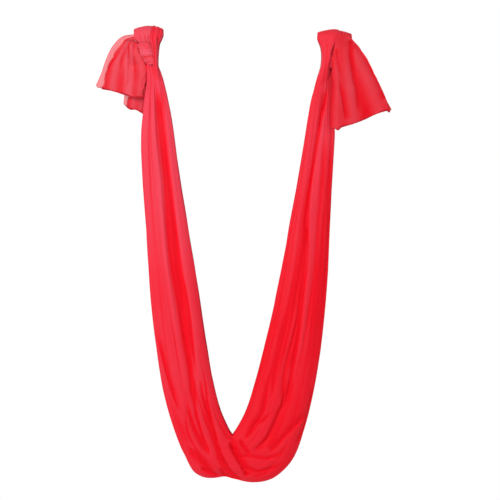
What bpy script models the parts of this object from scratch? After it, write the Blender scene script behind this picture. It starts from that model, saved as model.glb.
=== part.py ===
"""Aerial yoga hammock: one long sheet of red tricot, tied at each end into a loop and hanging as a sling.

Metres, +Z up, X along the hanging line, -Y towards the front. The origin is on the hanging line,
halfway between the two loops. The cloth from neck to neck lies in five groups of folds, front to back.
"""

import math

import bmesh
import bpy
from mathutils import Vector

# Hanging points and the eye that each loop leaves for a carabiner or a bar
EYE_SPACING = 0.780
EYE_RADIUS = 0.016
LINING_THICKNESS = 0.0035
LINING_HALF_ANGLE = math.radians(80)
LOOP_THICKNESS = 0.0195
LEFT_LOOP_WIDTH = 0.126
RIGHT_LOOP_WIDTH = 0.146
LINING_INSET = 0.008
LOOP_FOOT_WIDTH = 0.084
LOOP_DOMING = 0.80
LOOP_DOMING_POWER = 1.8
LOOP_PLEATS = 4
LOOP_PLEAT_DEPTH = 0.0030

# The hitch that closes each loop, and the neck of cloth that comes out of it
EYE_DEPTH = 0.045
HITCH_HEIGHT = 0.078
HITCH_WALL = 0.022
HITCH_INNER_WALL = 0.014
HITCH_ROUNDING = 0.27
HITCH_LEAN = 0.006
HITCH_WRAPS = 2
HITCH_WRAP_DEPTH = 0.004
HITCH_WRAP_SLANT = 0.18
NECK_HALF_WIDTH = 0.026
NECK_HALF_DEPTH = 0.025
NECK_LEAN = 0.024

# The sling between the two necks, a chain curve that carries the width of the cloth
SPREAD_AXIS_DROP = 0.110
SPREAD_AXIS_REACH = 0.060
NECK_INSET = 0.035
SLING_DROP = 1.595
FOLD_NAMES = ("front_edge", "front_fold", "middle_fold", "back_fold", "back_edge")
FOLD_INSETS = (0.015, 0.0, 0.03, 0.005, 0.02)
MIDDLE_FOLD_HALF = 0.0060
NEXT_FOLD_THICKNESS = 0.0085
EDGE_THINNING = 0.75
NOTCH_SHARE = 0.98
SEAT_SKEW = 0.22
SKEW_RISE = 0.06
SKEW_REACH = 0.45

# Along the sling (0 at the seat, 1 at a neck): breadth outside and inside the chain curve, half the depth
SLING_SECTIONS = (
    (0.00, 0.097, 0.097, 0.056),
    (0.045, 0.121, 0.104, 0.056),
    (0.09, 0.127, 0.112, 0.055),
    (0.14, 0.116, 0.115, 0.054),
    (0.21, 0.108, 0.120, 0.052),
    (0.30, 0.101, 0.120, 0.050),
    (0.45, 0.091, 0.110, 0.046),
    (0.65, 0.075, 0.088, 0.041),
    (0.87, 0.062, 0.060, 0.034),
    (0.95, 0.043, 0.045, 0.030),
    (1.00, 0.0235, 0.027, 0.026),
)

# Main grooves between the folds on the front: depth, breadth and the points (along, across) they pass
GROOVE_FADE = 0.10
GROOVE_LIMIT = 0.75
FRONT_GROOVES = (
    (0.020, 0.10, ((-0.95, 0.5), (-0.75, 0.6), (-0.47, 0.55), (-0.23, 0.53), (-0.05, 0.21), (0.02, -0.25))),
    (0.013, 0.09, ((-0.55, 0.20), (-0.42, 0.29), (-0.26, 0.38), (-0.11, 0.32), (0.00, -0.25))),
    (0.016, 0.09, ((-0.16, 1.25), (-0.03, 0.80), (0.03, 0.50), (0.06, 0.28), (0.08, -0.25))),
    (0.016, 0.09, ((0.01, 1.25), (0.11, 0.74), (0.15, 0.40), (0.22, 0.21), (0.34, 0.13), (0.50, 0.00))),
    (0.020, 0.10, ((0.12, 0.72), (0.28, 0.60), (0.45, 0.46), (0.76, 0.54), (0.95, 0.50))),
    (0.012, 0.09, ((0.17, 0.82), (0.33, 0.78), (0.46, 0.66), (0.60, 0.80))),
)
BACK_GROOVES = (
    (0.018, 0.10, ((-0.95, 0.45), (-0.60, 0.42), (-0.25, 0.62), (-0.08, 0.40), (0.12, 0.55), (0.30, 1.20))),
    (0.014, 0.09, ((-0.40, 0.75), (-0.15, 0.90), (0.02, 0.55), (0.20, 0.36), (0.55, 0.30), (0.95, 0.50))),
    (0.012, 0.09, ((-0.20, 0.25), (0.00, 0.18), (0.20, 0.70), (0.50, 0.68), (0.80, 0.62))),
)

# Loose tails: from the gather where each leaves its knot to its hem
GATHER_RADIUS = 0.026
GATHER_SEAT = 0.007
GATHER_CLEARANCE = 0.001
GATHER_NEAR = 0.016
TAIL_THICKNESS = 0.009
TAIL_CLEARANCE = 0.003
TAIL_LAYER_STEP = 0.013
NEAR_HEM_SHIFT = -0.016
FAR_HEM_SHIFT = 0.010
TAIL_WAVE = (0.0015, 0.0115)
UNDER_WAVE = (0.0010, 0.0055)
TAIL_HEM_RADIUS = 0.0025
LEFT_TAIL_CREST = (
    (0.024, 0.070), (0.055, 0.071), (0.090, 0.038), (0.118, -0.018), (0.145, -0.085), (0.183, -0.138)
)
LEFT_FLAP_INSIDE = ((0.004, -0.050), (0.006, -0.110), (0.010, -0.168))
LEFT_UNDER_OUTSIDE = ((0.040, -0.030), (0.046, -0.120), (0.048, -0.215))
LEFT_UNDER_INSIDE = ((-0.024, -0.040), (-0.028, -0.110), (-0.026, -0.255))
RIGHT_TAIL_CREST = (
    (0.028, 0.062), (0.058, 0.038), (0.090, -0.008), (0.124, -0.086), (0.158, -0.154), (0.215, -0.228)
)
RIGHT_FLAP_INSIDE = ((-0.056, -0.055), (-0.052, -0.130), (-0.044, -0.210), (-0.036, -0.309))
RIGHT_UNDER_OUTSIDE = ((0.045, -0.020), (0.080, -0.100), (0.115, -0.235))
RIGHT_UNDER_INSIDE = ((-0.026, -0.040), (-0.026, -0.110), (-0.006, -0.285))

# Fits: meshes that touch keep TOUCH between them, and the loop slips over its lining with SLIP
TOUCH = 0.0003
SLIP = 0.0005

# How finely the cloth is cut into faces
ACROSS = 16
LEG_STEPS = 9
SEAT_STEPS = 16
SEAT_SHARE = 0.24
SEAT_CROWDING = 1.4
ARC_STEPS = 10
LINING_STEPS = 11
HITCH_STEPS = 8
TAIL_ACROSS = 12
TAIL_STEPS = 6
RING_STEPS = 24

LOOP_INNER_RADIUS = EYE_RADIUS + LINING_THICKNESS + SLIP
LOOP_TOP = LOOP_INNER_RADIUS + LOOP_THICKNESS
NECK_SPACING = EYE_SPACING - 2 * NECK_INSET
SPREAD_AXIS_Z = -SPREAD_AXIS_DROP
NECK_Z = SPREAD_AXIS_Z - SPREAD_AXIS_REACH
SEAT_Z = NECK_Z - SLING_DROP
HITCH_FOOT = -EYE_DEPTH - HITCH_HEIGHT
FOLD_PLANES = (
    -MIDDLE_FOLD_HALF - NEXT_FOLD_THICKNESS,
    -MIDDLE_FOLD_HALF,
    MIDDLE_FOLD_HALF,
    MIDDLE_FOLD_HALF + NEXT_FOLD_THICKNESS,
)
GATHER_Z = -EYE_DEPTH - GATHER_RADIUS - GATHER_CLEARANCE
NEAR_LAYER = LOOP_TOP + TAIL_CLEARANCE + TAIL_THICKNESS / 2
FAR_LAYER = NEAR_LAYER + TAIL_LAYER_STEP
GATHER_FAR = FAR_LAYER + TAIL_THICKNESS / 2


def make_material(name, colour, roughness):
    material = bpy.data.materials.new(name)
    material.use_nodes = True
    shader = material.node_tree.nodes["Principled BSDF"]
    shader.inputs["Base Color"].default_value = (*colour, 1)
    shader.inputs["Roughness"].default_value = roughness
    shader.inputs["Metallic"].default_value = 0
    return material


def collection(name):
    made = bpy.data.collections.new(name)
    bpy.context.scene.collection.children.link(made)
    return made


def curve_through(points, share):
    """A point on the smooth curve through the points, share 0 at the first and 1 at the last."""
    last = len(points) - 1
    place = min(max(share, 0.0), 1.0) * last
    i = min(int(place), last - 1)
    f = place - i
    b, c = points[i], points[i + 1]
    a = points[i - 1] if i else [2 * p - q for p, q in zip(b, c)]
    d = points[i + 2] if i + 2 <= last else [2 * q - p for p, q in zip(b, c)]
    return [
        0.5 * (2 * q + (r - p) * f + (2 * p - 5 * q + 4 * r - s) * f * f + (3 * q - p - 3 * r + s) * f**3)
        for p, q, r, s in zip(a, b, c, d)
    ]


def table_value(rows, key, column):
    """A column of the rows at a value of their first column, joined by straight runs."""
    if key <= rows[0][0]:
        return rows[0][column]
    for low, high in zip(rows, rows[1:]):
        if key <= high[0]:
            return low[column] + (high[column] - low[column]) * (key - low[0]) / (high[0] - low[0])
    return rows[-1][column]


def mesh_object(name, mesh_maker, material, group):
    mesh = bpy.data.meshes.new(name)
    build = bmesh.new()
    mesh_maker(build)
    bmesh.ops.triangulate(build, faces=build.faces, quad_method="FIXED")
    bmesh.ops.recalc_face_normals(build, faces=build.faces)
    build.to_mesh(mesh)
    build.free()
    mesh.materials.append(material)
    mesh.shade_smooth()
    made = bpy.data.objects.new(name, mesh)
    group.objects.link(made)
    return made


def loft(name, rings, material, group):
    """A closed solid through rings of points. Each ring runs along the front and comes back along the rear.

    Its quads are split the same way on both sides, so that solids lying on each other share their facets.
    """

    def fill(build):
        rows = [[build.verts.new(point) for point in ring] for ring in rings]
        count = len(rows[0])
        for low, high in zip(rows, rows[1:]):
            for i in range(count):
                j = (i + 1) % count
                if i < count // 2:
                    build.faces.new((low[i], low[j], high[j], high[i]))
                else:
                    build.faces.new((low[j], high[j], high[i], low[i]))
        for row in (rows[0], rows[-1]):
            for i in range(count // 2 - 1):
                build.faces.new((row[i], row[i + 1], row[count - 2 - i], row[count - 1 - i]))

    return mesh_object(name, fill, material, group)


def hoop(name, rings, material, group):
    """A closed band: rings of points joined into a loop."""

    def fill(build):
        rows = [[build.verts.new(point) for point in ring] for ring in rings]
        count = len(rows[0])
        for low, high in zip(rows, rows[1:] + rows[:1]):
            for i in range(count):
                j = (i + 1) % count
                build.faces.new((low[i], low[j], high[j], high[i]))

    return mesh_object(name, fill, material, group)


def tube(name, points, radius, material, group):
    """A round cord or rolled hem along the points."""
    curve = bpy.data.curves.new(name, "CURVE")
    curve.dimensions = "3D"
    curve.bevel_depth = radius
    curve.bevel_resolution = 1
    curve.use_fill_caps = True
    spline = curve.splines.new("POLY")
    spline.points.add(len(points) - 1)
    for target, point in zip(spline.points, points):
        target.co = (*point, 1)
    curve.materials.append(material)
    made = bpy.data.objects.new(name, curve)
    group.objects.link(made)
    return made


def join(first, second):
    """Adds the second solid to the first and removes it."""
    union = first.modifiers.new("Union", "BOOLEAN")
    union.operation = "UNION"
    union.object = second
    bpy.context.view_layer.update()
    first.data = bpy.data.meshes.new_from_object(first.evaluated_get(bpy.context.evaluated_depsgraph_get()))
    first.modifiers.clear()
    bpy.data.objects.remove(second)


# The sling's line: cloth hangs between its necks as a chain does


def chain_size(half_span, drop):
    """The size of the chain curve that drops this far over half a span."""
    low, high = 0.01 * half_span, 10 * half_span
    for _ in range(80):
        middle = (low + high) / 2
        if middle * (math.cosh(min(half_span / middle, 50)) - 1) > drop:
            low = middle
        else:
            high = middle
    return low


CHAIN = chain_size(NECK_SPACING / 2, SLING_DROP)
HALF_LENGTH = CHAIN * math.sinh(NECK_SPACING / 2 / CHAIN)


def sling_point(along, across):
    """A place in the hanging plane: along is -1 at the left neck and 1 at the right, across 0 outside."""
    length = along * HALF_LENGTH
    x = CHAIN * math.asinh(length / CHAIN)
    z = SEAT_Z + math.hypot(CHAIN, length) - CHAIN
    slope = math.atan(length / CHAIN)
    skew = SEAT_SKEW * math.tanh(along / SKEW_RISE) * math.exp(-((along / SKEW_REACH) ** 2))
    outside = table_value(SLING_SECTIONS, abs(along), 1) * (1 + skew)
    bend_radius = (CHAIN**2 + length**2) / CHAIN
    inside = min(table_value(SLING_SECTIONS, abs(along), 2), NOTCH_SHARE * bend_radius)
    inwards = across * (outside + inside) - outside
    return x - math.sin(slope) * inwards, z + math.cos(slope) * inwards


def groove_depth(grooves, along, across):
    """How far the grooves between the folds sink into the front or the back."""
    depth = 0.0
    for sink, breadth, points in grooves:
        if not points[0][0] <= along <= points[-1][0]:
            continue
        ends = min(along - points[0][0], points[-1][0] - along) / 0.08
        line = table_value(points, along, 1)
        depth += sink * min(1.0, ends) * math.exp(-(((across - line) / breadth) ** 2))
    return depth


def fold_face(boundary, along, across):
    """The depth in Y of a face between folds, boundary 0 at the front of the bundle and 5 at its back."""
    if 0 < boundary < len(FOLD_NAMES):
        return FOLD_PLANES[boundary - 1]
    half = table_value(SLING_SECTIONS, abs(along), 3)
    outermost = FOLD_PLANES[-1]
    bulk = (half - outermost) * (1 - EDGE_THINNING * abs(2 * across - 1) ** 4)
    easing = min(1.0, (1 - abs(along)) / GROOVE_FADE)
    grooves = FRONT_GROOVES if boundary == 0 else BACK_GROOVES
    sunk = min(groove_depth(grooves, along, across) * easing, GROOVE_LIMIT * bulk)
    return (outermost + bulk - sunk) * (-1 if boundary == 0 else 1)


def stations(ends, share):
    """Where along the sling a cut falls. Across the seat the cuts are closer where the cloth bends most."""
    if ends[0] < 0 < ends[1]:
        place = 2 * share - 1
        return ends[1] * math.copysign(abs(place) ** SEAT_CROWDING, place)
    return ends[0] + (ends[1] - ends[0]) * share


def fold_solid(name, index, ends, steps, trims, material, group):
    """One stretch of one group of folds, between two places along the sling, with gaps at its ends."""
    inset = FOLD_INSETS[index]
    rings = []
    for step in range(steps + 1):
        along = stations(ends, step / steps)
        shift = (trims[0] if step == 0 else 0) - (trims[1] if step == steps else 0)
        along += shift / HALF_LENGTH
        at_neck = abs(abs(along) - 1) < 1e-9
        faces = []
        for boundary, gap in ((index, TOUCH / 2), (index + 1, -TOUCH / 2)):
            row = []
            for i in range(ACROSS + 1):
                across = inset + (1 - 2 * inset) * i / ACROSS
                x, z = sling_point(along, across)
                y = fold_face(boundary, along, across) + gap
                if at_neck:
                    z = SPREAD_AXIS_Z - math.sqrt((SPREAD_AXIS_REACH + TOUCH) ** 2 - y**2)
                row.append((x, y, z))
            faces.append(row)
        rings.append(faces[0] + faces[1][::-1])
    return loft(name, rings, material, group)


def neck_ring(height, side, swell=0.0):
    """The outline of the neck inside its hitch at this height, front from the outside in and back again."""
    middle = neck_middle(height)
    ring = []
    for facing in (-1, 1):
        row = []
        for i in range(ACROSS + 1):
            angle = math.pi * (i + 0.5) / (ACROSS + 1)
            x = middle + (NECK_HALF_WIDTH + swell) * math.cos(angle)
            row.append((side * x, facing * (NECK_HALF_DEPTH + swell) * math.sin(angle), height))
        ring += row if facing < 0 else row[::-1]
    return ring


def neck_solid(name, side, material, group):
    """The cloth from inside the hitch down to where the folds part, round about the axis they part on."""
    rings = [neck_ring(-EYE_DEPTH, side), neck_ring(HITCH_FOOT, side)]
    foot = []
    for boundary in (0, len(FOLD_NAMES)):
        row = []
        for i in range(ACROSS + 1):
            x, _ = sling_point(1, i / ACROSS)
            y = fold_face(boundary, 1, i / ACROSS)
            z = SPREAD_AXIS_Z - math.sqrt(SPREAD_AXIS_REACH**2 - y**2)
            row.append((side * x, y, z))
        foot += row if boundary == 0 else row[::-1]
    middle = [[(p + q) / 2 for p, q in zip(low, high)] for low, high in zip(rings[-1], foot)]
    return loft(name, rings + [middle, foot], material, group)


def neck_middle(height):
    """How far out the middle of the neck is. It leans from the hitch's top to where the sling starts."""
    return NECK_SPACING / 2 + NECK_LEAN * (height - NECK_Z) / (-EYE_DEPTH - NECK_Z)


def hitch_solid(name, side, material, group):
    """The cloth wrapped round the neck: a bulging band of slanting wraps, with the neck through it."""
    columns = []
    for step in range(HITCH_STEPS + 1):
        share = step / HITCH_STEPS
        height = HITCH_FOOT + HITCH_HEIGHT * share
        ring = []
        for x, y, z in neck_ring(height, side):
            out = Vector((x - side * neck_middle(height), y)).normalized()
            turn = 2 * math.pi * HITCH_WRAPS * (share + HITCH_WRAP_SLANT * out.x * side)
            outwards = min(1.0, 1 + out.x * side)
            wall = HITCH_INNER_WALL + (HITCH_WALL - HITCH_INNER_WALL) * outwards
            wall *= 1 - HITCH_ROUNDING * (2 * share - 1) ** 2
            wall -= HITCH_WRAP_DEPTH * (1 + math.cos(turn)) / 2 * math.sin(math.pi * share)
            ring.append((x + out.x * wall + HITCH_LEAN * share * side, y + out.y * wall, z))
        columns.append(ring)
    columns += [neck_ring(height, side, TOUCH) for height in (-EYE_DEPTH, HITCH_FOOT)]
    return hoop(name, [list(ring) for ring in zip(*columns)], material, group)


def loop_solid(name, side, width, material, group):
    """The strap of folded cloth over the eye: up the front, over the lining and down the back."""
    rings = []
    foot_z = -EYE_DEPTH + TOUCH
    stations = [(-1, foot_z), (-1, foot_z * 0.5)]
    stations += [(None, math.pi * (1 - i / ARC_STEPS)) for i in range(ARC_STEPS + 1)]
    stations += [(1, foot_z * 0.5), (1, foot_z)]
    for facing, value in stations:
        outer, inner = [], []
        for i in range(ACROSS + 1):
            across = 2 * i / ACROSS - 1
            spread = 1.0 if facing is None else 1 - value / foot_z
            breadth = LOOP_FOOT_WIDTH + (width - LOOP_FOOT_WIDTH) * spread
            x = side * EYE_SPACING / 2 + across * breadth / 2
            pleat = LOOP_PLEAT_DEPTH * (1 - math.cos(2 * math.pi * LOOP_PLEATS * i / ACROSS)) / 2
            pleat *= 1 - across**2
            dome = LOOP_THICKNESS * (1 - LOOP_DOMING * abs(across) ** LOOP_DOMING_POWER) - pleat
            if facing is None:
                out = Vector((0, math.cos(value), math.sin(value)))
                outer.append((x, out.y * (LOOP_INNER_RADIUS + dome), out.z * (LOOP_INNER_RADIUS + dome)))
                inner.append((x, out.y * LOOP_INNER_RADIUS, out.z * LOOP_INNER_RADIUS))
            else:
                thick = dome * (0.55 + 0.45 * spread)
                outer.append((x, facing * (LOOP_INNER_RADIUS + thick), value))
                inner.append((x, facing * LOOP_INNER_RADIUS, value))
        rings.append(outer + inner[::-1])
    return loft(name, rings, material, group)


def lining_solid(name, side, width, material, group):
    """The innermost layers of a loop, which grip the support through the eye. Its middle facet is level."""
    rings = []
    half = width / 2 - LINING_INSET
    for i in range(LINING_STEPS + 1):
        angle = math.pi / 2 + LINING_HALF_ANGLE * (1 - 2 * i / LINING_STEPS)
        ring = []
        for across, radius in ((-1, 1), (1, 1), (1, 0), (-1, 0)):
            reach = EYE_RADIUS + radius * LINING_THICKNESS
            x = side * EYE_SPACING / 2 + across * half
            ring.append((x, reach * math.cos(angle), reach * math.sin(angle)))
        rings.append(ring)
    return loft(name, rings, material, group)


# Loose tails, each turning about the gather where it leaves its knot


def gather_centre(side):
    """The axis that a tail lifts on, at the outer side of the hitch."""
    out = neck_middle(GATHER_Z) + NECK_HALF_WIDTH + HITCH_WALL + GATHER_RADIUS - GATHER_SEAT
    return Vector((side * out, 0, GATHER_Z))


def gather_solid(name, side, facing, material, group):
    """The bunched cloth where a tail leaves its knot, round about the axis that the tail lifts on."""
    length = GATHER_FAR - GATHER_NEAR
    bpy.ops.mesh.primitive_cylinder_add(
        vertices=RING_STEPS,
        radius=GATHER_RADIUS,
        depth=length,
        location=gather_centre(side) + Vector((0, facing * (GATHER_NEAR + length / 2), 0)),
        rotation=(math.pi / 2, 0, 0),
    )
    made = bpy.context.object
    made.name = name
    made.data.materials.append(material)
    for other in made.users_collection:
        other.objects.unlink(made)
    group.objects.link(made)
    return made


def tail_edge(points, side, share):
    """A place on a tail's edge. Its points are measured outwards and upwards from the gather's middle."""
    out, up = curve_through(points, share)
    centre = gather_centre(side)
    return centre.x + side * out, centre.z + up


def fan_place(centre, side, outside, inside, across):
    """A place between two edges, found by turning about the gather instead of going straight over it."""
    reaches, turns = [], []
    for x, z in (outside, inside):
        reaches.append(math.hypot(x - centre.x, z - centre.z))
        turns.append(math.atan2(z - centre.z, side * (x - centre.x)))
    reach = reaches[0] + (reaches[1] - reaches[0]) * across
    turn = turns[0] + (turns[1] - turns[0]) * across
    return centre.x + side * reach * math.cos(turn), centre.z + reach * math.sin(turn)


def tail_solid(name, side, facing, edges, depths, wave, folds, material, group):
    """A fan of cloth between two edges. depths are its distances from the middle at the gather and hem."""
    centre = gather_centre(side)
    start_reach = GATHER_RADIUS + SLIP
    starts = []
    for edge in edges:
        first = Vector((edge[0][0], edge[0][1]))
        starts.append(math.atan2(first.y, first.x))
    rings = []
    for step in range(TAIL_STEPS + 1):
        share = step / TAIL_STEPS
        front, back = [], []
        for i in range(TAIL_ACROSS + 1):
            across = i / TAIL_ACROSS
            turn = starts[0] + (starts[1] - starts[0]) * across
            near_x = centre.x + side * start_reach * math.cos(turn)
            near_z = centre.z + start_reach * math.sin(turn)
            if step == 0:
                x, z = near_x, near_z
            else:
                reach = (share - 1 / TAIL_STEPS) / (1 - 1 / TAIL_STEPS)
                outside, inside = (tail_edge(edge, side, reach) for edge in edges)
                straight_x = outside[0] + (inside[0] - outside[0]) * across
                straight_z = outside[1] + (inside[1] - outside[1]) * across
                fan_x, fan_z = fan_place(centre, side, outside, inside, across)
                x = fan_x + (straight_x - fan_x) * reach
                z = fan_z + (straight_z - fan_z) * reach
            ripple = math.cos(2 * math.pi * folds * across) * (wave[0] + (wave[1] - wave[0]) * share)
            middle = facing * (depths[0] + (depths[1] - depths[0]) * share) + ripple
            half = TAIL_THICKNESS / 2
            front.append((x, middle - half, z))
            back.append((x, middle + half, z))
        rings.append(front + back[::-1])
    loft(name, rings, material, group)
    return rings[-1][: TAIL_ACROSS + 1]


def hem_line(edge_points):
    """The middle of the rolled hem, just under the tail's lower edge."""
    half = TAIL_THICKNESS / 2
    drop = TAIL_HEM_RADIUS + TOUCH
    return [(x, y + half, z - drop) for x, y, z in edge_points]


def main():
    for old in list(bpy.data.objects):
        bpy.data.objects.remove(old)
    group = collection("aerial_yoga_hammock")
    cloth = make_material("sling_tricot", (0.84, 0.030, 0.052), 0.62)
    knot_cloth = make_material("knot_tricot", (0.80, 0.050, 0.080), 0.60)
    tail_cloth = make_material("tail_tricot", (0.83, 0.065, 0.095), 0.62)
    lining_cloth = make_material("lining_tricot", (0.62, 0.016, 0.030), 0.70)
    hem_cloth = make_material("rolled_hem", (0.70, 0.030, 0.050), 0.75)

    for word, side, width in (("left", -1, LEFT_LOOP_WIDTH), ("right", 1, RIGHT_LOOP_WIDTH)):
        facing = -side
        lining_solid(f"{word}_loop_lining", side, width, lining_cloth, group)
        loop_solid(f"{word}_loop", side, width, knot_cloth, group)
        hitch = hitch_solid(f"{word}_hitch", side, knot_cloth, group)
        join(hitch, gather_solid(f"{word}_gather", side, facing, knot_cloth, group))
        neck_solid(f"{word}_neck", side, knot_cloth, group)

    for index, fold in enumerate(FOLD_NAMES):
        stretches = (
            ("left_leg", (-1, -SEAT_SHARE), LEG_STEPS, (0, TOUCH / 2)),
            ("seat", (-SEAT_SHARE, SEAT_SHARE), SEAT_STEPS, (TOUCH / 2, TOUCH / 2)),
            ("right_leg", (SEAT_SHARE, 1), LEG_STEPS, (TOUCH / 2, 0)),
        )
        for word, ends, steps, trims in stretches:
            fold_solid(f"{fold}_{word}", index, ends, steps, trims, cloth, group)

    near = (NEAR_LAYER, NEAR_LAYER + NEAR_HEM_SHIFT)
    far = (FAR_LAYER, FAR_LAYER + FAR_HEM_SHIFT)
    tails = (
        ("left", -1, "flap", (LEFT_TAIL_CREST, LEFT_FLAP_INSIDE), near, TAIL_WAVE, 2.5),
        ("left", -1, "under", (LEFT_UNDER_OUTSIDE, LEFT_UNDER_INSIDE), far, UNDER_WAVE, 1.5),
        ("right", 1, "flap", (RIGHT_TAIL_CREST, RIGHT_FLAP_INSIDE), far, TAIL_WAVE, 2.5),
        ("right", 1, "under", (RIGHT_UNDER_OUTSIDE, RIGHT_UNDER_INSIDE), near, UNDER_WAVE, 1.5),
    )
    for word, side, part, edges, depths, wave, folds in tails:
        name = f"{word}_tail_{part}"
        lower_edge = tail_solid(name, side, -side, edges, depths, wave, folds, tail_cloth, group)
        tube(f"{name}_hem", hem_line(lower_edge), TAIL_HEM_RADIUS, hem_cloth, group)


main()
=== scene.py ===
import math

import bpy
import numpy as np
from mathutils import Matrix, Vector


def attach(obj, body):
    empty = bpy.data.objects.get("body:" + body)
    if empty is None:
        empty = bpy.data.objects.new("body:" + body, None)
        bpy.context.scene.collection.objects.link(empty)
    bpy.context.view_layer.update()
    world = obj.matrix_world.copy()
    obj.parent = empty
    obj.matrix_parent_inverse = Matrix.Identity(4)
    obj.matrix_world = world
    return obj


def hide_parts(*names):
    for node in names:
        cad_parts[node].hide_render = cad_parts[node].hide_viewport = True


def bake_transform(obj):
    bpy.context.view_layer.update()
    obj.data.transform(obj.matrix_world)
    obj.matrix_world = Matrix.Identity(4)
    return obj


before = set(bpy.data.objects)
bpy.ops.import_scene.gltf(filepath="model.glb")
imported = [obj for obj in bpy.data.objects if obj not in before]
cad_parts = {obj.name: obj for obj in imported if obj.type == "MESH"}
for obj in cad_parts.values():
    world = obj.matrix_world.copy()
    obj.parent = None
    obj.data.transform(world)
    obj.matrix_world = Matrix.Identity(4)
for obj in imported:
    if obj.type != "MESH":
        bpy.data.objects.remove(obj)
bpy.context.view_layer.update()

# Aerial yoga hammock: one long sheet of red tricot, tied into a loop at each end and hung as a sling.
# The cloth is laid up as it really lies: back and forth in flat layers, joined by turned edges.

for leftSelected in list(bpy.context.selected_objects):
    leftSelected.select_set(False)


# Curves and easing

def eased(value):
    value = np.clip(value, 0.0, 1.0)
    return value * value * (3 - 2 * value)


def smoothCurve(points, count):  # a smooth line through given points
    points = np.array(points, float)
    first = 2 * points[0] - points[1]
    last = 2 * points[-1] - points[-2]
    run = np.vstack([first, points, last])
    places = np.linspace(0, len(points) - 1, count)
    i = np.minimum(places.astype(int), len(points) - 2)
    f = (places - i)[:, None]
    a, b, c, d = run[i], run[i + 1], run[i + 2], run[i + 3]
    return 0.5 * (2 * b + (c - a) * f + (2 * a - 5 * b + 4 * c - d) * f**2 + (3 * b - a - 3 * c + d) * f**3)


def window(value, start, rise, end, fall):  # 1 between start and end, faded in and out
    return eased((value - start) / rise) * eased((end - value) / fall)


def easedTable(rows, column, softness, count=801):  # a table's column with its corners rounded off
    keys = np.array([row[0] for row in rows])
    values = np.array([row[column] for row in rows])
    fine = np.linspace(keys[0], keys[-1], count)
    plain = np.interp(fine, keys, values)
    reach = max(1, int(softness / (fine[1] - fine[0])))
    kernel = np.hanning(2 * reach + 3)[1:-1]
    kernel /= kernel.sum()
    padded = np.concatenate([plain[reach:0:-1], plain, np.full(reach, plain[-1])])
    smooth = np.convolve(padded, kernel, "valid")
    return lambda key: np.interp(key, fine, smooth)


def slowWander(seed, count, waves):  # a gentle seeded wobble along a line, from -1 to 1
    rng = np.random.default_rng(seed)
    share = np.linspace(0, 1, count)
    total = np.zeros(count)
    for wave in range(1, waves + 1):
        total += rng.uniform(-1, 1) * np.sin(2 * np.pi * (wave * share + rng.uniform(0, 1))) / wave**0.6
    return total / max(1e-9, np.abs(total).max())


creaseReach = 2.6  # widths past its line at which a crease is left out


def creaseField(x, z, creases, power=1.15):
    # Each crease: depth, width to its left and to its right as seen from the front, fade at each end, line.
    # Lines run downwards or to the right, in metres in the hanging plane. A high power makes a flat bottom.
    field = np.zeros(x.shape)
    for depth, toLeft, toRight, fadeIn, fadeOut, points in creases:
        line = smoothCurve(points, 40)
        reach = creaseReach * max(toLeft, toRight)
        near = (x > line[:, 0].min() - reach) & (x < line[:, 0].max() + reach)
        near &= (z > line[:, 1].min() - reach) & (z < line[:, 1].max() + reach)
        px = x[near][:, None]
        pz = z[near][:, None]
        start = line[:-1]
        step = line[1:] - start
        along = ((px - start[:, 0]) * step[:, 0] + (pz - start[:, 1]) * step[:, 1]) / (step**2).sum(1)
        along = np.clip(along, 0, 1)
        offX = px - start[:, 0] - along * step[:, 0]
        offZ = pz - start[:, 1] - along * step[:, 1]
        gap = offX**2 + offZ**2
        best = gap.argmin(1)
        pick = np.arange(len(best))
        offX, offZ, along = offX[pick, best], offZ[pick, best], along[pick, best]
        side = step[best, 0] * offZ - step[best, 1] * offX
        place = (best + along) / len(step)
        width = np.where(side > 0, toRight, toLeft)
        fade = eased(place / max(fadeIn, 1e-6)) * eased((1 - place) / max(fadeOut, 1e-6))
        field[near] += depth * fade * np.exp(-(np.sqrt(gap[pick, best]) / width) ** power)
    return field


# Finishes

def addNode(tree, kind, **inputs):
    node = tree.nodes.new(kind)
    for name, value in inputs.items():
        node.inputs[name.replace("_", " ")].default_value = value
    return node


def colourSocket(mix, letter):  # a Mix node keeps a socket of each name for each kind of data
    return next(socket for socket in mix.inputs if socket.name == letter and socket.type == "RGBA")


def makeKnitGroup():  # tricot: fine ribs along the cloth with short slanted stitches between them
    group = bpy.data.node_groups.new("tricotKnit", "ShaderNodeTree")
    group.interface.new_socket("Vector", in_out="INPUT", socket_type="NodeSocketVector")
    pitch = group.interface.new_socket("Ribs per metre", in_out="INPUT", socket_type="NodeSocketFloat")
    pitch.default_value = 700
    group.interface.new_socket("Height", in_out="OUTPUT", socket_type="NodeSocketFloat")
    start = group.nodes.new("NodeGroupInput")
    end = group.nodes.new("NodeGroupOutput")
    scaled = group.nodes.new("ShaderNodeVectorMath")
    scaled.operation = "SCALE"
    group.links.new(start.outputs["Vector"], scaled.inputs[0])
    group.links.new(start.outputs["Ribs per metre"], scaled.inputs["Scale"])
    oneBand = 0.314  # the Wave texture's scale that gives one band a unit
    ribs = addNode(group, "ShaderNodeTexWave", Scale=oneBand, Distortion=0.0)
    ribs.bands_direction = "X"
    stitches = addNode(group, "ShaderNodeTexWave", Scale=0.22, Distortion=1.5, Detail=0.0)
    stitches.bands_direction = "DIAGONAL"
    group.links.new(scaled.outputs[0], ribs.inputs["Vector"])
    group.links.new(scaled.outputs[0], stitches.inputs["Vector"])
    both = group.nodes.new("ShaderNodeMath")
    both.operation = "MULTIPLY_ADD"
    both.inputs[1].default_value = 0.45  # the stitches stand lower than the ribs
    group.links.new(stitches.outputs["Fac"], both.inputs[0])
    group.links.new(ribs.outputs["Fac"], both.inputs[2])
    group.links.new(both.outputs[0], end.inputs["Height"])
    return group


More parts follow.
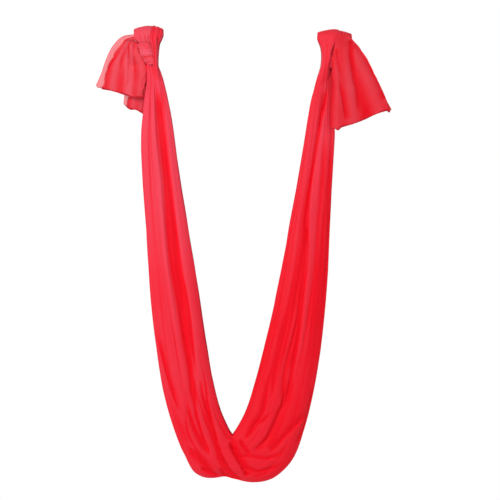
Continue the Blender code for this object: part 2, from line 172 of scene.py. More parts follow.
def makeToneGroup():  # mixes deep to pale: a painted highlight on the crests and painted shade in the folds, by the cloth's shape, and a slow random drift of tone
    group = bpy.data.node_groups.new("dyeAndPaintedShade", "ShaderNodeTree")
    group.interface.new_socket("Vector", in_out="INPUT", socket_type="NodeSocketVector")
    group.interface.new_socket("Deep", in_out="INPUT", socket_type="NodeSocketColor")
    group.interface.new_socket("Pale", in_out="INPUT", socket_type="NodeSocketColor")
    group.interface.new_socket("Fold", in_out="INPUT", socket_type="NodeSocketFloat")
    group.interface.new_socket("Color", in_out="OUTPUT", socket_type="NodeSocketColor")
    start = group.nodes.new("NodeGroupInput")
    end = group.nodes.new("NodeGroupOutput")
    broad = addNode(group, "ShaderNodeTexNoise", Scale=2.2, Detail=3.0, Roughness=0.55)
    drift = group.nodes.new("ShaderNodeMath")
    drift.operation = "MULTIPLY_ADD"
    drift.inputs[1].default_value = 0.5    # the noise, centred on no change
    drift.inputs[2].default_value = -0.25
    both = group.nodes.new("ShaderNodeMath")
    both.operation = "ADD"
    both.use_clamp = True
    mix = group.nodes.new("ShaderNodeMix")
    mix.data_type = "RGBA"
    group.links.new(start.outputs["Vector"], broad.inputs["Vector"])
    group.links.new(broad.outputs["Fac"], drift.inputs[0])
    group.links.new(start.outputs["Fold"], both.inputs[0])
    group.links.new(drift.outputs[0], both.inputs[1])
    group.links.new(both.outputs[0], mix.inputs["Factor"])
    group.links.new(start.outputs["Deep"], colourSocket(mix, "A"))
    group.links.new(start.outputs["Pale"], colourSocket(mix, "B"))
    group.links.new(mix.outputs[2], end.inputs["Color"])
    return group


knitGroup = makeKnitGroup()
toneGroup = makeToneGroup()
tricot = {
    "roughness": 0.55,
    "specular": 0.10,
    "sheenRoughness": 0.45,
    "sheenTint": (1.0, 0.72, 0.74),
    "knitStrength": 0.25,
    "knitHeight": 0.0004,   # metres from a rib's foot to its top
}


def makeCloth(name, deep, pale, sheen, sheer=0.0):
    material = bpy.data.materials.new(name)
    material.use_nodes = True
    tree = material.node_tree
    shader = tree.nodes["Principled BSDF"]
    shader.inputs["Roughness"].default_value = tricot["roughness"]
    shader.inputs["Specular IOR Level"].default_value = tricot["specular"]
    shader.inputs["Sheen Weight"].default_value = sheen
    shader.inputs["Sheen Roughness"].default_value = tricot["sheenRoughness"]
    shader.inputs["Sheen Tint"].default_value = (*tricot["sheenTint"], 1)
    shader.inputs["Alpha"].default_value = 1 - sheer
    place = tree.nodes.new("ShaderNodeTexCoord")
    tone = tree.nodes.new("ShaderNodeGroup")
    tone.node_tree = toneGroup
    tone.inputs["Deep"].default_value = (*deep, 1)
    tone.inputs["Pale"].default_value = (*pale, 1)
    folds = tree.nodes.new("ShaderNodeAttribute")
    folds.attribute_name = "paintedFoldShade"
    tree.links.new(place.outputs["Object"], tone.inputs["Vector"])
    tree.links.new(folds.outputs["Fac"], tone.inputs["Fold"])
    tree.links.new(tone.outputs["Color"], shader.inputs["Base Color"])
    stitches = tree.nodes.new("ShaderNodeGroup")
    stitches.node_tree = knitGroup
    tree.links.new(place.outputs["UV"], stitches.inputs["Vector"])
    bump = addNode(tree, "ShaderNodeBump", Strength=tricot["knitStrength"], Distance=tricot["knitHeight"])
    tree.links.new(stitches.outputs["Height"], bump.inputs["Height"])
    tree.links.new(bump.outputs["Normal"], shader.inputs["Normal"])
    return material


# Each cloth's deep and pale colour. For the sling, knots and tails, the tone between them comes from painted
# shade in the folds, painted highlights on the crests, painted light that is paler on the left and up the
# legs, and a slow random drift
dyeAndPaintedLight = {
    "slingDeep": (0.82, 0.0015, 0.0120),
    "slingPale": (0.80, 0.0520, 0.0880),
    "knotDeep": (0.75, 0.0040, 0.0160),
    "knotPale": (0.78, 0.1100, 0.1600),
    "tailDeep": (0.87, 0.0030, 0.0140),
    "tailPale": (0.86, 0.1050, 0.1480),
    "liningDeep": (0.58, 0.004, 0.012),
    "liningPale": (0.66, 0.012, 0.024),
    "hemDeep": (0.55, 0.006, 0.018),
    "hemPale": (0.62, 0.014, 0.028),
    "sheen": 0.04,
    "edgeSheen": 0.15,      # of the linings and the rolled hems
    "tailSheer": 0.21,      # the light that one layer of a tail lets through
    "crestRoom": 0.34,      # the most that a crest's painted highlight or a fold's painted shade changes the tone
    "foldRoom": 0.50,
    "knotBoost": 1.7,       # how strongly the painted highlight and shade of the folds of knots and tails change the tone
    "leftTailBoost": 1.7,
    "rightTailBoost": 0.9,
    "leftTone": 0.52,       # the flat cloth's tone, from 0 for the deep colour to 1 for the pale one; the left knot is paler than the right as painted light from the key lamp at the left
    "rightTone": 0.18,
    "leftSlackTone": (0.62, 0.46),  # beside the leg, and up at the loop; the left paler than the right as painted light from the key lamp at the left
    "rightSlackTone": (0.40, 0.45),
    # the left tail is paler than the right as painted light from the key lamp at the left
    "leftTailTone": 0.50,
    "rightTailTone": 0.20,
    "nearDepth": 0.010,     # metres from a fold's bottom to its crest that give the whole change of painted shade and highlight
    "farDepth": 0.012,
}
slingCloth = makeCloth("slingTricot", dyeAndPaintedLight["slingDeep"], dyeAndPaintedLight["slingPale"], dyeAndPaintedLight["sheen"])
knotCloth = makeCloth("knotTricot", dyeAndPaintedLight["knotDeep"], dyeAndPaintedLight["knotPale"], dyeAndPaintedLight["sheen"])
tailCloth = makeCloth("tailTricot", dyeAndPaintedLight["tailDeep"], dyeAndPaintedLight["tailPale"], dyeAndPaintedLight["sheen"], dyeAndPaintedLight["tailSheer"])
liningCloth = makeCloth("liningTricot", dyeAndPaintedLight["liningDeep"], dyeAndPaintedLight["liningPale"], dyeAndPaintedLight["edgeSheen"])
hemCloth = makeCloth("rolledHem", dyeAndPaintedLight["hemDeep"], dyeAndPaintedLight["hemPale"], dyeAndPaintedLight["edgeSheen"])
print("finishes made")


# Cloth laid back and forth

def softened(values, reach):  # a running mean along both sides of a grid
    for axis, width in enumerate(reach):
        first = np.repeat(values.take([0], axis), width + 1, axis)
        last = np.repeat(values.take([-1], axis), width, axis)
        total = np.cumsum(np.concatenate([first, values, last], axis), axis)
        span, count = 2 * width + 1, values.shape[axis]
        values = (total.take(range(span, span + count), axis) - total.take(range(count), axis)) / span
    return values


def paintedFoldShade(rise, reach, boost=1.0):  # painted shade under 0 in the folds and painted highlight over it on the crests
    near = rise - softened(rise, reach)
    far = rise - softened(rise, (3 * reach[0], 3 * reach[1]))
    change = boost * (near / dyeAndPaintedLight["nearDepth"] + far / dyeAndPaintedLight["farDepth"])
    room = np.where(change > 0, dyeAndPaintedLight["crestRoom"], dyeAndPaintedLight["foldRoom"])
    return room * np.tanh(change / room)


def addPiece(name, mesh, tone, material):
    shade = mesh.attributes.new("paintedFoldShade", "FLOAT", "POINT")
    shade.data.foreach_set("value", np.clip(tone, 0, 1).astype(np.float32).ravel())
    mesh.shade_smooth()
    mesh.materials.append(material)
    piece = bpy.data.objects.new(name, mesh)
    bpy.context.scene.collection.objects.link(piece)
    return piece


def gridMesh(name, points, uv, tone, material):  # a grid of points as one open sheet
    rows, cols = points.shape[:2]
    index = np.arange(rows * cols).reshape(rows, cols)
    quads = np.stack([index[:-1, :-1], index[:-1, 1:], index[1:, 1:], index[1:, :-1]], -1).reshape(-1, 4)
    mesh = bpy.data.meshes.new(name)
    mesh.from_pydata(points.reshape(-1, 3).tolist(), [], quads.tolist())
    layer = mesh.uv_layers.new(name="Cloth")
    layer.data.foreach_set("uv", uv.reshape(-1, 2)[quads.reshape(-1)].astype(np.float32).ravel())
    return addPiece(name, mesh, tone, material)


def zigzag(depths, insets, bulge, samples, turnSamples, firstSide):
    # Columns of a sheet that runs from edge to edge at each depth and turns back at alternate edges.
    # insets has a row of edge distances for each edge that a layer has: before the first layer, at each
    # turn, and after the last, all in shares of the breadth. bulge is how far a turned edge rounds out.
    depthCols, acrossCols, layerOf = [], [], []
    rows = insets.shape[1]
    for k, depth in enumerate(depths):
        fromSide = (firstSide + k) % 2
        start = insets[k] if fromSide == 0 else 1 - insets[k]
        stop = 1 - insets[k + 1] if fromSide == 0 else insets[k + 1]
        count = samples[k]
        for i in range(count + 1):
            even = i / count
            closer = (1 - math.cos(math.pi * even)) / 2  # closer together towards the edges
            depthCols.append(np.full(rows, depth))
            acrossCols.append(start + (stop - start) * (even + closer) / 2)
            layerOf.append(k)
        if k == len(depths) - 1:
            break
        out = bulge if fromSide == 0 else -bulge
        for i in range(1, turnSamples[k]):
            turn = math.pi * i / turnSamples[k]
            depthCols.append(np.full(rows, depth + (depths[k + 1] - depth) * (1 - math.cos(turn)) / 2))
            acrossCols.append(stop + out * math.sin(turn))
            layerOf.append(k + 0.5)
    return np.array(depthCols).T, np.array(acrossCols).T, np.array(layerOf)


def clothUv(points, alongShare, length):  # metres of cloth across, added up along each row, and down it
    middle = points[len(points) // 2]
    across = np.concatenate([[0], np.cumsum(np.linalg.norm(np.diff(middle, axis=0), axis=1))])
    uv = np.zeros(points.shape[:2] + (2,))
    uv[..., 0] = across[None, :]
    uv[..., 1] = alongShare[:, None] * length
    return uv


# The sling, from knot to knot

sling = {
    "neckHeight": -0.170,
    "neckSpacing": 0.710,
    "drop": 1.595,          # from the necks down to the middle of the seat
    "overrun": 0.031,       # how far past the neck the cloth goes up into its hitch, as a share
    "rows": 760,
    "innerPlane": 0.0060,   # the middle fold lies between these planes, metres to the front and the back
    "outerPlane": 0.0145,   # the next folds end here
    "planeTurn": 0.001,     # a turned edge goes from one body to the next over this much each way
    "middleShare": 0.35,    # the share of the depths below that lies between the outer planes
    "layerDepths": (-1.0, -0.86, -0.73, -0.60, -0.48, -0.29, -0.21, -0.075,
                    0.075, 0.21, 0.29, 0.48, 0.60, 0.73, 0.86, 1.0),
    "floorTurns": (4, 6, 8, 10),  # these turned edges open out into the floor of the seat
    "cutTurns": (0, 5, 7, 9, 14),
    "pieces": ("slingFront", "slingFrontLayers", "slingFrontCore", "slingBackCore", "slingBackLayers",
               "slingBack"),
    "widthShares": (1 / 16, 5 / 16, 2 / 16, 2 / 16, 5 / 16, 1 / 16),
    "sheetWidth": 2.8,
    "turnBulge": 0.0022,    # metres that the cloth rounds out where it turns back
    "leastStagger": 0.0005,  # metres that turned edges lie back: at least, and then more outside and inside
    "frontStagger": 0.003,
    "innerStagger": 0.014,
    "staggerFade": 0.25,    # the edges come together over this share towards the knots
    "edgeWaves": 5,
    "edgeSeed": 100,
    "frontSamples": 112,
    "backSamples": 60,
    "layerSamples": 13,
    "turnSamples": 8,
    "floorSamples": 14,
    "edgeThinning": 0.75,   # how much thinner the bundle gets towards its edges, and how sharply
    "thinningPower": 4,
    "notchShare": 0.98,     # the breadth inside the curve stays under this share of its radius
    "softness": 0.030,      # how far the corners of the tables below are rounded off, as a share along
    "outsideSoftness": 0.008,
    "toneSoftness": 0.060,
    "flowFolds": 64,        # narrow folds in the front, and as many in the back
    "flowPower": 1.1,
    "rippleHeight": 0.0004,
    "frontSeed": 11,
    "backSeed": 12,
    "bandPower": 3.5,       # how flat the painted shade bands are across
    "bandDepth": 0.006,     # metres sunk for a whole step of painted band shade
    "seatFolds": 0.35,      # how much deeper the creases are in the seat
    "seatReach": 0.30,
    "creaseEnd": 1.01,      # the creases run out here, over creaseFade
    "creaseFade": 0.10,
    "mostRaised": 0.006,    # metres that a crest stands out, and the share of the depth that a crease takes
    "mostSunk": 0.80,
    "seatCrest": 0.45,      # the share of a crest's painted highlight that's left in the deepest-toned cloth
    "crestGain": 1.5,       # how fast that share grows with the flat cloth's tone
    "toneReach": (8, 6),    # rows and columns over which a fold's painted shade and highlight are judged
    "edgeFlat": 0.018,      # free edges lie together this far in, and part by here
    "edgeReach": 0.040,
    "sway": 0.0014,         # how far the whole bundle wanders in depth
    "swayWaves": 3.1,
    "swayPhase": 0.2,
    "seatSkew": 0.22,       # how much broader the seat's right part is outside, and narrower its left one
    "skewRise": 0.06,
    "skewReach": 0.45,
    "mouthShift": 0.010,    # metres out that the cloth goes as it enters its hitch, from mouthStart on
    "mouthStart": 0.985,
    "mouthReach": 0.055,
    "sections": (           # along, breadth outside and inside the chain curve, half the depth
        (0.00, 0.097, 0.097, 0.056), (0.045, 0.121, 0.104, 0.056), (0.09, 0.127, 0.112, 0.055),
        (0.14, 0.116, 0.115, 0.054), (0.21, 0.108, 0.120, 0.052), (0.30, 0.101, 0.120, 0.050),
        (0.45, 0.091, 0.110, 0.046), (0.65, 0.075, 0.088, 0.041), (0.87, 0.062, 0.060, 0.034),
        (0.95, 0.043, 0.045, 0.0310), (1.00, 0.0235, 0.027, 0.0325), (1.02, 0.0230, 0.0235, 0.0300),
        (1.04, 0.0185, 0.0090, 0.0200),
    ),
    "outsideExtra": (       # how much further out this cloth hangs, from the left knot to the right one
        (-1.05, 0.008), (-1.00, 0.012), (-0.96, 0.009), (-0.90, 0.009), (-0.82, 0.012),
        (-0.72, 0.008), (-0.62, 0.000), (-0.33, -0.001), (-0.23, 0.003), (-0.11, 0.001),
        (-0.08, 0.004), (-0.05, 0.022), (-0.035, 0.016), (-0.02, -0.004), (-0.01, -0.021),
        (0.00, -0.015), (0.01, -0.012), (0.02, -0.004), (0.035, 0.004), (0.05, 0.010), (0.08, 0.008),
        (0.15, 0.005), (0.24, 0.006), (0.335, 0.008), (0.53, 0.008), (0.63, 0.004), (0.73, 0.001),
        (0.92, 0.000), (0.97, 0.005), (1.00, 0.005), (1.05, -0.003),
    ),
    "paintedLightAlong": (          # how pale the flat cloth is, as painted light: palest up the left leg where the key lamp falls from the upper left, deepest in the seat as painted shade
        (-1.05, 0.62), (-0.92, 0.88), (-0.70, 0.74), (-0.50, 0.42), (-0.25, 0.28), (-0.10, 0.14),
        (0.00, 0.07), (0.20, 0.04), (0.35, 0.08), (0.60, 0.28), (0.85, 0.42), (1.05, 0.36),
    ),
    "insideExtra": (
        (-1.05, 0.000), (-0.94, 0.000), (-0.90, 0.004), (-0.72, 0.006), (-0.62, 0.013),
        (-0.52, 0.017), (-0.42, 0.013), (-0.33, 0.008), (-0.23, 0.004), (-0.10, 0.003), (0.00, 0.000),
        (0.05, 0.004), (0.23, 0.004), (0.33, 0.003), (0.42, -0.003), (0.52, 0.000), (0.62, 0.003),
        (0.72, 0.001), (0.81, 0.004), (0.90, 0.007), (0.96, 0.008), (1.00, 0.006), (1.05, 0.000),
    ),
}


def chainSize(halfSpan, drop):  # the size of the hanging curve that has this span and drop, by halving
    low, high = 0.01 * halfSpan, 10 * halfSpan
    for _ in range(80):
        middle = (low + high) / 2
        if middle * (math.cosh(min(halfSpan / middle, 50)) - 1) > drop:
            low = middle
        else:
            high = middle
    return low


chain = chainSize(sling["neckSpacing"] / 2, sling["drop"])
halfLength = chain * math.sinh(sling["neckSpacing"] / 2 / chain)
seatHeight = sling["neckHeight"] - sling["drop"]
outsideAt, insideAt, halfDepthAt = [easedTable(sling["sections"], column, sling["softness"])
                                    for column in (1, 2, 3)]
outsideExtraAt = easedTable(sling["outsideExtra"], 1, sling["outsideSoftness"])
insideExtraAt = easedTable(sling["insideExtra"], 1, sling["softness"])
paintedLightAlongAt = easedTable(sling["paintedLightAlong"], 1, sling["toneSoftness"])


def slingPlace(along, across):
    length = along * halfLength
    x = chain * np.arcsinh(length / chain)
    z = seatHeight + np.hypot(chain, length) - chain
    slope = np.arctan(length / chain)
    fading = np.exp(-((along / sling["skewReach"]) ** 2))
    skew = sling["seatSkew"] * np.tanh(along / sling["skewRise"]) * fading
    outside = outsideAt(np.abs(along)) * (1 + skew) + outsideExtraAt(along)
    bend = (chain**2 + length**2) / chain
    inside = np.minimum(insideAt(np.abs(along)) + insideExtraAt(along), sling["notchShare"] * bend)
    inwards = across * (outside + inside) - outside
    x = x - np.sin(slope) * inwards
    intoMouth = eased((np.abs(along) - sling["mouthStart"]) / sling["mouthReach"])
    x = x + np.sign(along) * sling["mouthShift"] * intoMouth
    return x, z + np.cos(slope) * inwards


def breadthAt(along):
    return outsideAt(np.abs(along)) + insideAt(np.abs(along)) + outsideExtraAt(along) + insideExtraAt(along)


# Creases seen from the front: depth, width to the left, to the right, fade in, fade out, line (x, z).
# A negative depth is a crest.
frontCreases = [
    (0.009, 0.020, 0.008, 0.15, 0.10, ((-0.346, -0.180), (-0.334, -0.272), (-0.315, -0.392),
     (-0.295, -0.553), (-0.276, -0.673), (-0.260, -0.793), (-0.243, -0.929),
     (-0.223, -1.074), (-0.210, -1.234), (-0.189, -1.354), (-0.174, -1.475), (-0.162, -1.560))),
    (-0.006, 0.016, 0.006, 0.15, 0.3, ((-0.365, -0.190), (-0.360, -0.273),
     (-0.348, -0.433), (-0.326, -0.594), (-0.310, -0.754),
     (-0.294, -0.915), (-0.268, -1.075), (-0.246, -1.235), (-0.224, -1.395))),
    (0.003, 0.005, 0.004, 0.3, 0.5, ((-0.373, -0.149), (-0.375, -0.190),
     (-0.377, -0.249), (-0.372, -0.355), (-0.366, -0.474), (-0.357, -0.578))),
    (0.006, 0.012, 0.004, 0.3, 0.4, ((-0.238, -0.954), (-0.206, -1.073),
     (-0.184, -1.193), (-0.165, -1.354), (-0.146, -1.474))),
    (0.008, 0.004, 0.022, 0.4, 0.4, ((-0.341, -1.197), (-0.310, -1.317),
     (-0.275, -1.437), (-0.241, -1.531), (-0.200, -1.620))),
    (0.005, 0.008, 0.004, 0.3, 0.4, ((-0.190, -1.330),
     (-0.173, -1.434), (-0.149, -1.529), (-0.128, -1.610))),
    (0.014, 0.016, 0.0045, 0.08, 0.15, ((0.361, -0.190), (0.357, -0.257),
     (0.336, -0.378), (0.315, -0.523), (0.298, -0.660), (0.292, -0.757), (0.295, -0.869),
     (0.289, -0.982), (0.276, -1.127), (0.263, -1.264), (0.246, -1.385), (0.233, -1.520))),
    (-0.004, 0.004, 0.014, 0.2, 0.2, ((0.318, -0.600), (0.307, -0.708),
     (0.306, -0.901), (0.295, -1.062), (0.283, -1.223), (0.266, -1.384))),
    (0.007, 0.018, 0.004, 0.4, 0.3, ((0.240, -1.103),
     (0.214, -1.225), (0.178, -1.386), (0.161, -1.522))),
    (0.006, 0.010, 0.004, 0.4, 0.3, ((0.272, -1.135),
     (0.243, -1.264), (0.215, -1.385), (0.197, -1.521))),
    (0.005, 0.012, 0.004, 0.4, 0.4, ((-0.195, -1.515), (-0.189, -1.640),
     (-0.152, -1.723), (-0.092, -1.791), (-0.063, -1.822))),
    (0.008, 0.022, 0.004, 0.5, 0.3, ((-0.196, -1.466), (-0.184, -1.550),
     (-0.165, -1.619), (-0.143, -1.667), (-0.107, -1.722), (-0.078, -1.777))),
    (0.009, 0.020, 0.004, 0.5, 0.3, ((-0.168, -1.400), (-0.161, -1.473),
     (-0.156, -1.549), (-0.133, -1.639), (-0.104, -1.715), (-0.082, -1.756))),
    (0.006, 0.014, 0.004, 0.5, 0.4, ((-0.140, -1.400), (-0.134, -1.451),
     (-0.124, -1.513), (-0.096, -1.589), (-0.080, -1.650))),
    (0.014, 0.026, 0.0035, 0.4, 0.08, ((-0.130, -1.380), (-0.116, -1.461),
     (-0.101, -1.548), (-0.081, -1.624), (-0.059, -1.700),
     (-0.040, -1.755), (-0.008, -1.807), (0.028, -1.841), (0.046, -1.861))),
    (0.016, 0.0035, 0.020, 0.35, 0.10, ((-0.018, -1.692), (-0.008, -1.708),
     (0.008, -1.740), (0.026, -1.768), (0.048, -1.810), (0.063, -1.842))),
    (0.005, 0.0030, 0.008, 0.30, 0.3, ((0.026, -1.680),
     (0.040, -1.700), (0.060, -1.728), (0.080, -1.757))),
    (0.007, 0.016, 0.004, 0.4, 0.3, ((-0.148, -1.751),
     (-0.116, -1.778), (-0.080, -1.819), (-0.056, -1.832))),
    (0.009, 0.010, 0.004, 0.3, 0.1, ((-0.133, -1.803),
     (-0.108, -1.813), (-0.080, -1.826), (-0.049, -1.839))),
    (0.007, 0.018, 0.004, 0.4, 0.2, ((-0.191, -1.710),
     (-0.152, -1.744), (-0.113, -1.788), (-0.073, -1.822))),
    (0.009, 0.014, 0.004, 0.3, 0.2, ((-0.060, -1.790),
     (-0.028, -1.828), (0.000, -1.845), (0.032, -1.858))),
    (0.013, 0.004, 0.026, 0.4, 0.2, ((0.214, -1.400), (0.211, -1.457), (0.205, -1.523),
     (0.186, -1.576), (0.163, -1.632), (0.129, -1.689), (0.074, -1.739))),
    (0.009, 0.014, 0.004, 0.4, 0.3, ((0.160, -1.390), (0.145, -1.452),
     (0.129, -1.553), (0.106, -1.606), (0.073, -1.662), (0.042, -1.698))),
    (0.008, 0.004, 0.010, 0.3, 0.4, ((0.240, -1.380), (0.232, -1.457),
     (0.226, -1.488), (0.221, -1.523), (0.203, -1.569))),
    (0.008, 0.018, 0.004, 0.4, 0.2, ((0.322, -1.520), (0.308, -1.573), (0.280, -1.605),
     (0.253, -1.634), (0.212, -1.677), (0.178, -1.716), (0.151, -1.744))),
    (0.008, 0.004, 0.022, 0.4, 0.4, ((0.326, -1.440), (0.320, -1.503),
     (0.308, -1.584), (0.285, -1.650), (0.255, -1.714))),
    (0.005, 0.012, 0.004, 0.3, 0.3, ((0.161, -1.563),
     (0.134, -1.602), (0.103, -1.620), (0.080, -1.660))),
    (0.005, 0.004, 0.014, 0.2, 0.4, ((0.020, -1.766), (0.075, -1.755),
     (0.138, -1.762), (0.186, -1.750), (0.230, -1.715))),
    (0.007, 0.004, 0.012, 0.2, 0.4, ((0.041, -1.802), (0.076, -1.812),
     (0.108, -1.816), (0.170, -1.803), (0.215, -1.771))),
    (0.004, 0.004, 0.010, 0.3, 0.5, ((0.070, -1.833),
     (0.105, -1.836), (0.139, -1.824), (0.180, -1.800))),
    (0.005, 0.005, 0.004, 0.2, 0.2, ((0.030, -1.690), (0.050, -1.720), (0.078, -1.752))),
]
# Where a deeper layer of cloth shows between two folds: how much painted shade darkens it, which also sinks
# it, then as above
frontShadeBands = [
    (0.50, 0.022, 0.026, 0.10, 0.25, ((-0.345, -0.190), (-0.339, -0.296), (-0.326, -0.433),
     (-0.301, -0.593), (-0.286, -0.754), (-0.271, -0.883), (-0.253, -0.995),
     (-0.230, -1.114), (-0.207, -1.236), (-0.190, -1.355), (-0.172, -1.475))),
    (0.26, 0.018, 0.018, 0.50, 0.25, ((0.306, -0.480), (0.290, -0.600),
     (0.277, -0.740), (0.2690, -0.880), (0.2525, -1.024),
     (0.233, -1.129), (0.212, -1.226), (0.189, -1.347), (0.160, -1.468))),
    (0.22, 0.026, 0.034, 0.20, 0.30, ((0.366, -0.400), (0.368, -0.498), (0.372, -0.659),
     (0.368, -0.820), (0.355, -0.981), (0.338, -1.142), (0.326, -1.303), (0.300, -1.465))),
    # painted shade down the leg's left edge below the knot, where the tail lies in shade
    (0.60, 0.012, 0.008, 0.05, 0.40, ((-0.400, -0.110), (-0.400, -0.161),
     (-0.404, -0.202), (-0.408, -0.255), (-0.409, -0.310))),
    (0.16, 0.030, 0.016, 0.20, 0.20, ((-0.165, -1.720), (-0.110, -1.775), (-0.060, -1.822))),
    (0.14, 0.010, 0.030, 0.20, 0.20, ((-0.020, -1.700), (0.010, -1.745), (0.040, -1.790))),
]
backShadeBands = [
    (0.30, 0.020, 0.026, 0.2, 0.25, ((-0.330, -0.300),
     (-0.290, -0.640), (-0.240, -1.000), (-0.190, -1.350))),
    (0.25, 0.024, 0.020, 0.2, 0.25, ((0.330, -0.340),
     (0.305, -0.700), (0.285, -1.050), (0.215, -1.400))),
]
backCreases = [
    (0.018, 0.012, 0.040, 0.1, 0.1, ((-0.350, -0.200), (-0.325, -0.450), (-0.285, -0.800),
     (-0.235, -1.150), (-0.190, -1.420), (-0.110, -1.640), (0.010, -1.760))),
    (0.014, 0.030, 0.010, 0.1, 0.1, ((0.350, -0.200), (0.318, -0.450), (0.300, -0.800),
     (0.262, -1.150), (0.215, -1.420), (0.120, -1.640), (-0.020, -1.735))),
    (0.012, 0.010, 0.018, 0.2, 0.2, ((-0.330, -0.950), (-0.290, -1.250),
     (-0.235, -1.500), (-0.130, -1.690), (0.020, -1.800), (0.120, -1.800))),
    (0.012, 0.014, 0.010, 0.2, 0.2, ((0.330, -1.000), (0.305, -1.260),
     (0.260, -1.480), (0.180, -1.660), (0.060, -1.780), (-0.060, -1.830))),
    (0.009, 0.008, 0.012, 0.3, 0.3, ((-0.220, -0.900),
     (-0.180, -1.200), (-0.130, -1.430), (-0.060, -1.600))),
    (0.009, 0.010, 0.008, 0.3, 0.3, ((0.225, -0.950),
     (0.195, -1.200), (0.150, -1.420), (0.070, -1.620))),
]


ripples = {
    "count": 9,
    "turns": (3, 11),           # waves across the breadth
    "drift": (-3.0, 3.0),       # waves along half the sling
    "swing": (1.0, 4.0),        # how often a ripple swells and fades along half the sling
    "gathered": 1.6,            # how much higher they are at the knots, and metres over which that fades
    "gatherReach": 0.16,
}


def fineRipples(along, across, seed, amount):  # soft lengthwise wrinkles, strongest where the cloth gathers
    rng = np.random.default_rng(seed)
    total = np.zeros(along.shape)
    for _ in range(ripples["count"]):
        turns = rng.uniform(*ripples["turns"])
        drift = rng.uniform(*ripples["drift"])
        swing = rng.uniform(*ripples["swing"])
        phase = rng.uniform(0, 2 * np.pi)
        strength = 0.5 + 0.5 * np.sin(2 * np.pi * (swing * along + rng.uniform(0, 1)))
        total += strength * np.sin(2 * np.pi * (turns * across + drift * along) + phase)
    gather = 1 + ripples["gathered"] * np.exp(-(1 - np.abs(along)) * halfLength / ripples["gatherReach"])
    return amount * gather * total / math.sqrt(ripples["count"])


flow = {                        # ranges that each fold's values are drawn from, in this order
    "reach": (0.14, 0.46),      # half its length, as a share along
    "place": (0.05, 0.95),      # where it lies across
    "drift": (-0.30, 0.30),
    "curve": (-0.4, 0.4),
    "depth": (0.0008, 0.0028),
    "narrow": (0.0022, 0.0040),  # metres across its steep side, and across its gentle one
    "wide": (0.006, 0.015),
}


def flowCreases(along, across, breadth, seed, count):  # narrow folds that run with the cloth
    rng = np.random.default_rng(seed)
    total = np.zeros(along.shape)
    for _ in range(count):
        middle = rng.uniform(-1, 1)
        reach, place, drift, curve, depth, narrow, wide = [rng.uniform(*span) for span in flow.values()]
        if rng.uniform() < 0.5:
            narrow, wide = wide, narrow
        share = (along - middle) / reach
        off = (across - place - drift * (along - middle) - curve * (along - middle) ** 2) * breadth
        width = np.where(off < 0, narrow, wide)
        total += depth * eased(1 - np.abs(share)) * np.exp(-(np.abs(off) / width) ** sling["flowPower"])
    return total


def closedDepths():  # layer depths with each free pair of edges drawn together
    closed = list(sling["layerDepths"])
    for k in range(1, len(closed) - 1, 2):
        closed[k] = closed[k + 1] = (closed[k] + closed[k + 1]) / 2
    return closed


def slingDepth(depth, along, across, x, z):
    # depth runs from -1 at the front to 1 at the back, with the inner planes where the folds part
    inFromEdge = across * breadthAt(along)
    drawn = eased((sling["edgeReach"] - inFromEdge) / (sling["edgeReach"] - sling["edgeFlat"]))
    depth = depth + (np.interp(depth, sling["layerDepths"], closedDepths()) - depth) * drawn
    half = halfDepthAt(np.abs(along))
    middleShare = sling["middleShare"]
    thinned = 1 - sling["edgeThinning"] * np.abs(2 * across - 1) ** sling["thinningPower"]
    bulk = (half - sling["outerPlane"]) * thinned
    easing = eased((sling["creaseEnd"] - np.abs(along)) / sling["creaseFade"])
    sunk = np.zeros(x.shape)
    deeper = np.zeros(x.shape)
    ahead = depth < -middleShare
    behind = depth > middleShare
    for chosen, creases, bands, seed in ((ahead, frontCreases, frontShadeBands, sling["frontSeed"]),
                                         (behind, backCreases, backShadeBands, sling["backSeed"])):
        deeper[chosen] = creaseField(x[chosen], z[chosen], bands, sling["bandPower"])
        seatShare = 1 + sling["seatFolds"] * np.exp(-((along[chosen] / sling["seatReach"]) ** 2))
        found = creaseField(x[chosen], z[chosen], creases) * seatShare + sling["bandDepth"] * deeper[chosen]
        sunk[chosen] = found * easing[chosen]
        sunk[chosen] += flowCreases(along[chosen], across[chosen], breadthAt(along[chosen]), seed,
                                    sling["flowFolds"])
        sunk[chosen] += fineRipples(along[chosen], across[chosen], seed, sling["rippleHeight"])
    sunk = np.clip(sunk, -sling["mostRaised"], sling["mostSunk"] * bulk)
    size = np.abs(depth)
    inner = size / middleShare * sling["outerPlane"]
    outer = sling["outerPlane"] + (size - middleShare) / (1 - middleShare) * (bulk - sunk)
    sway = sling["sway"] * np.sin(2 * np.pi * (sling["swayWaves"] * along + sling["swayPhase"]))
    return sway + np.sign(depth) * np.where(size < middleShare, inner, outer), -sunk, deeper


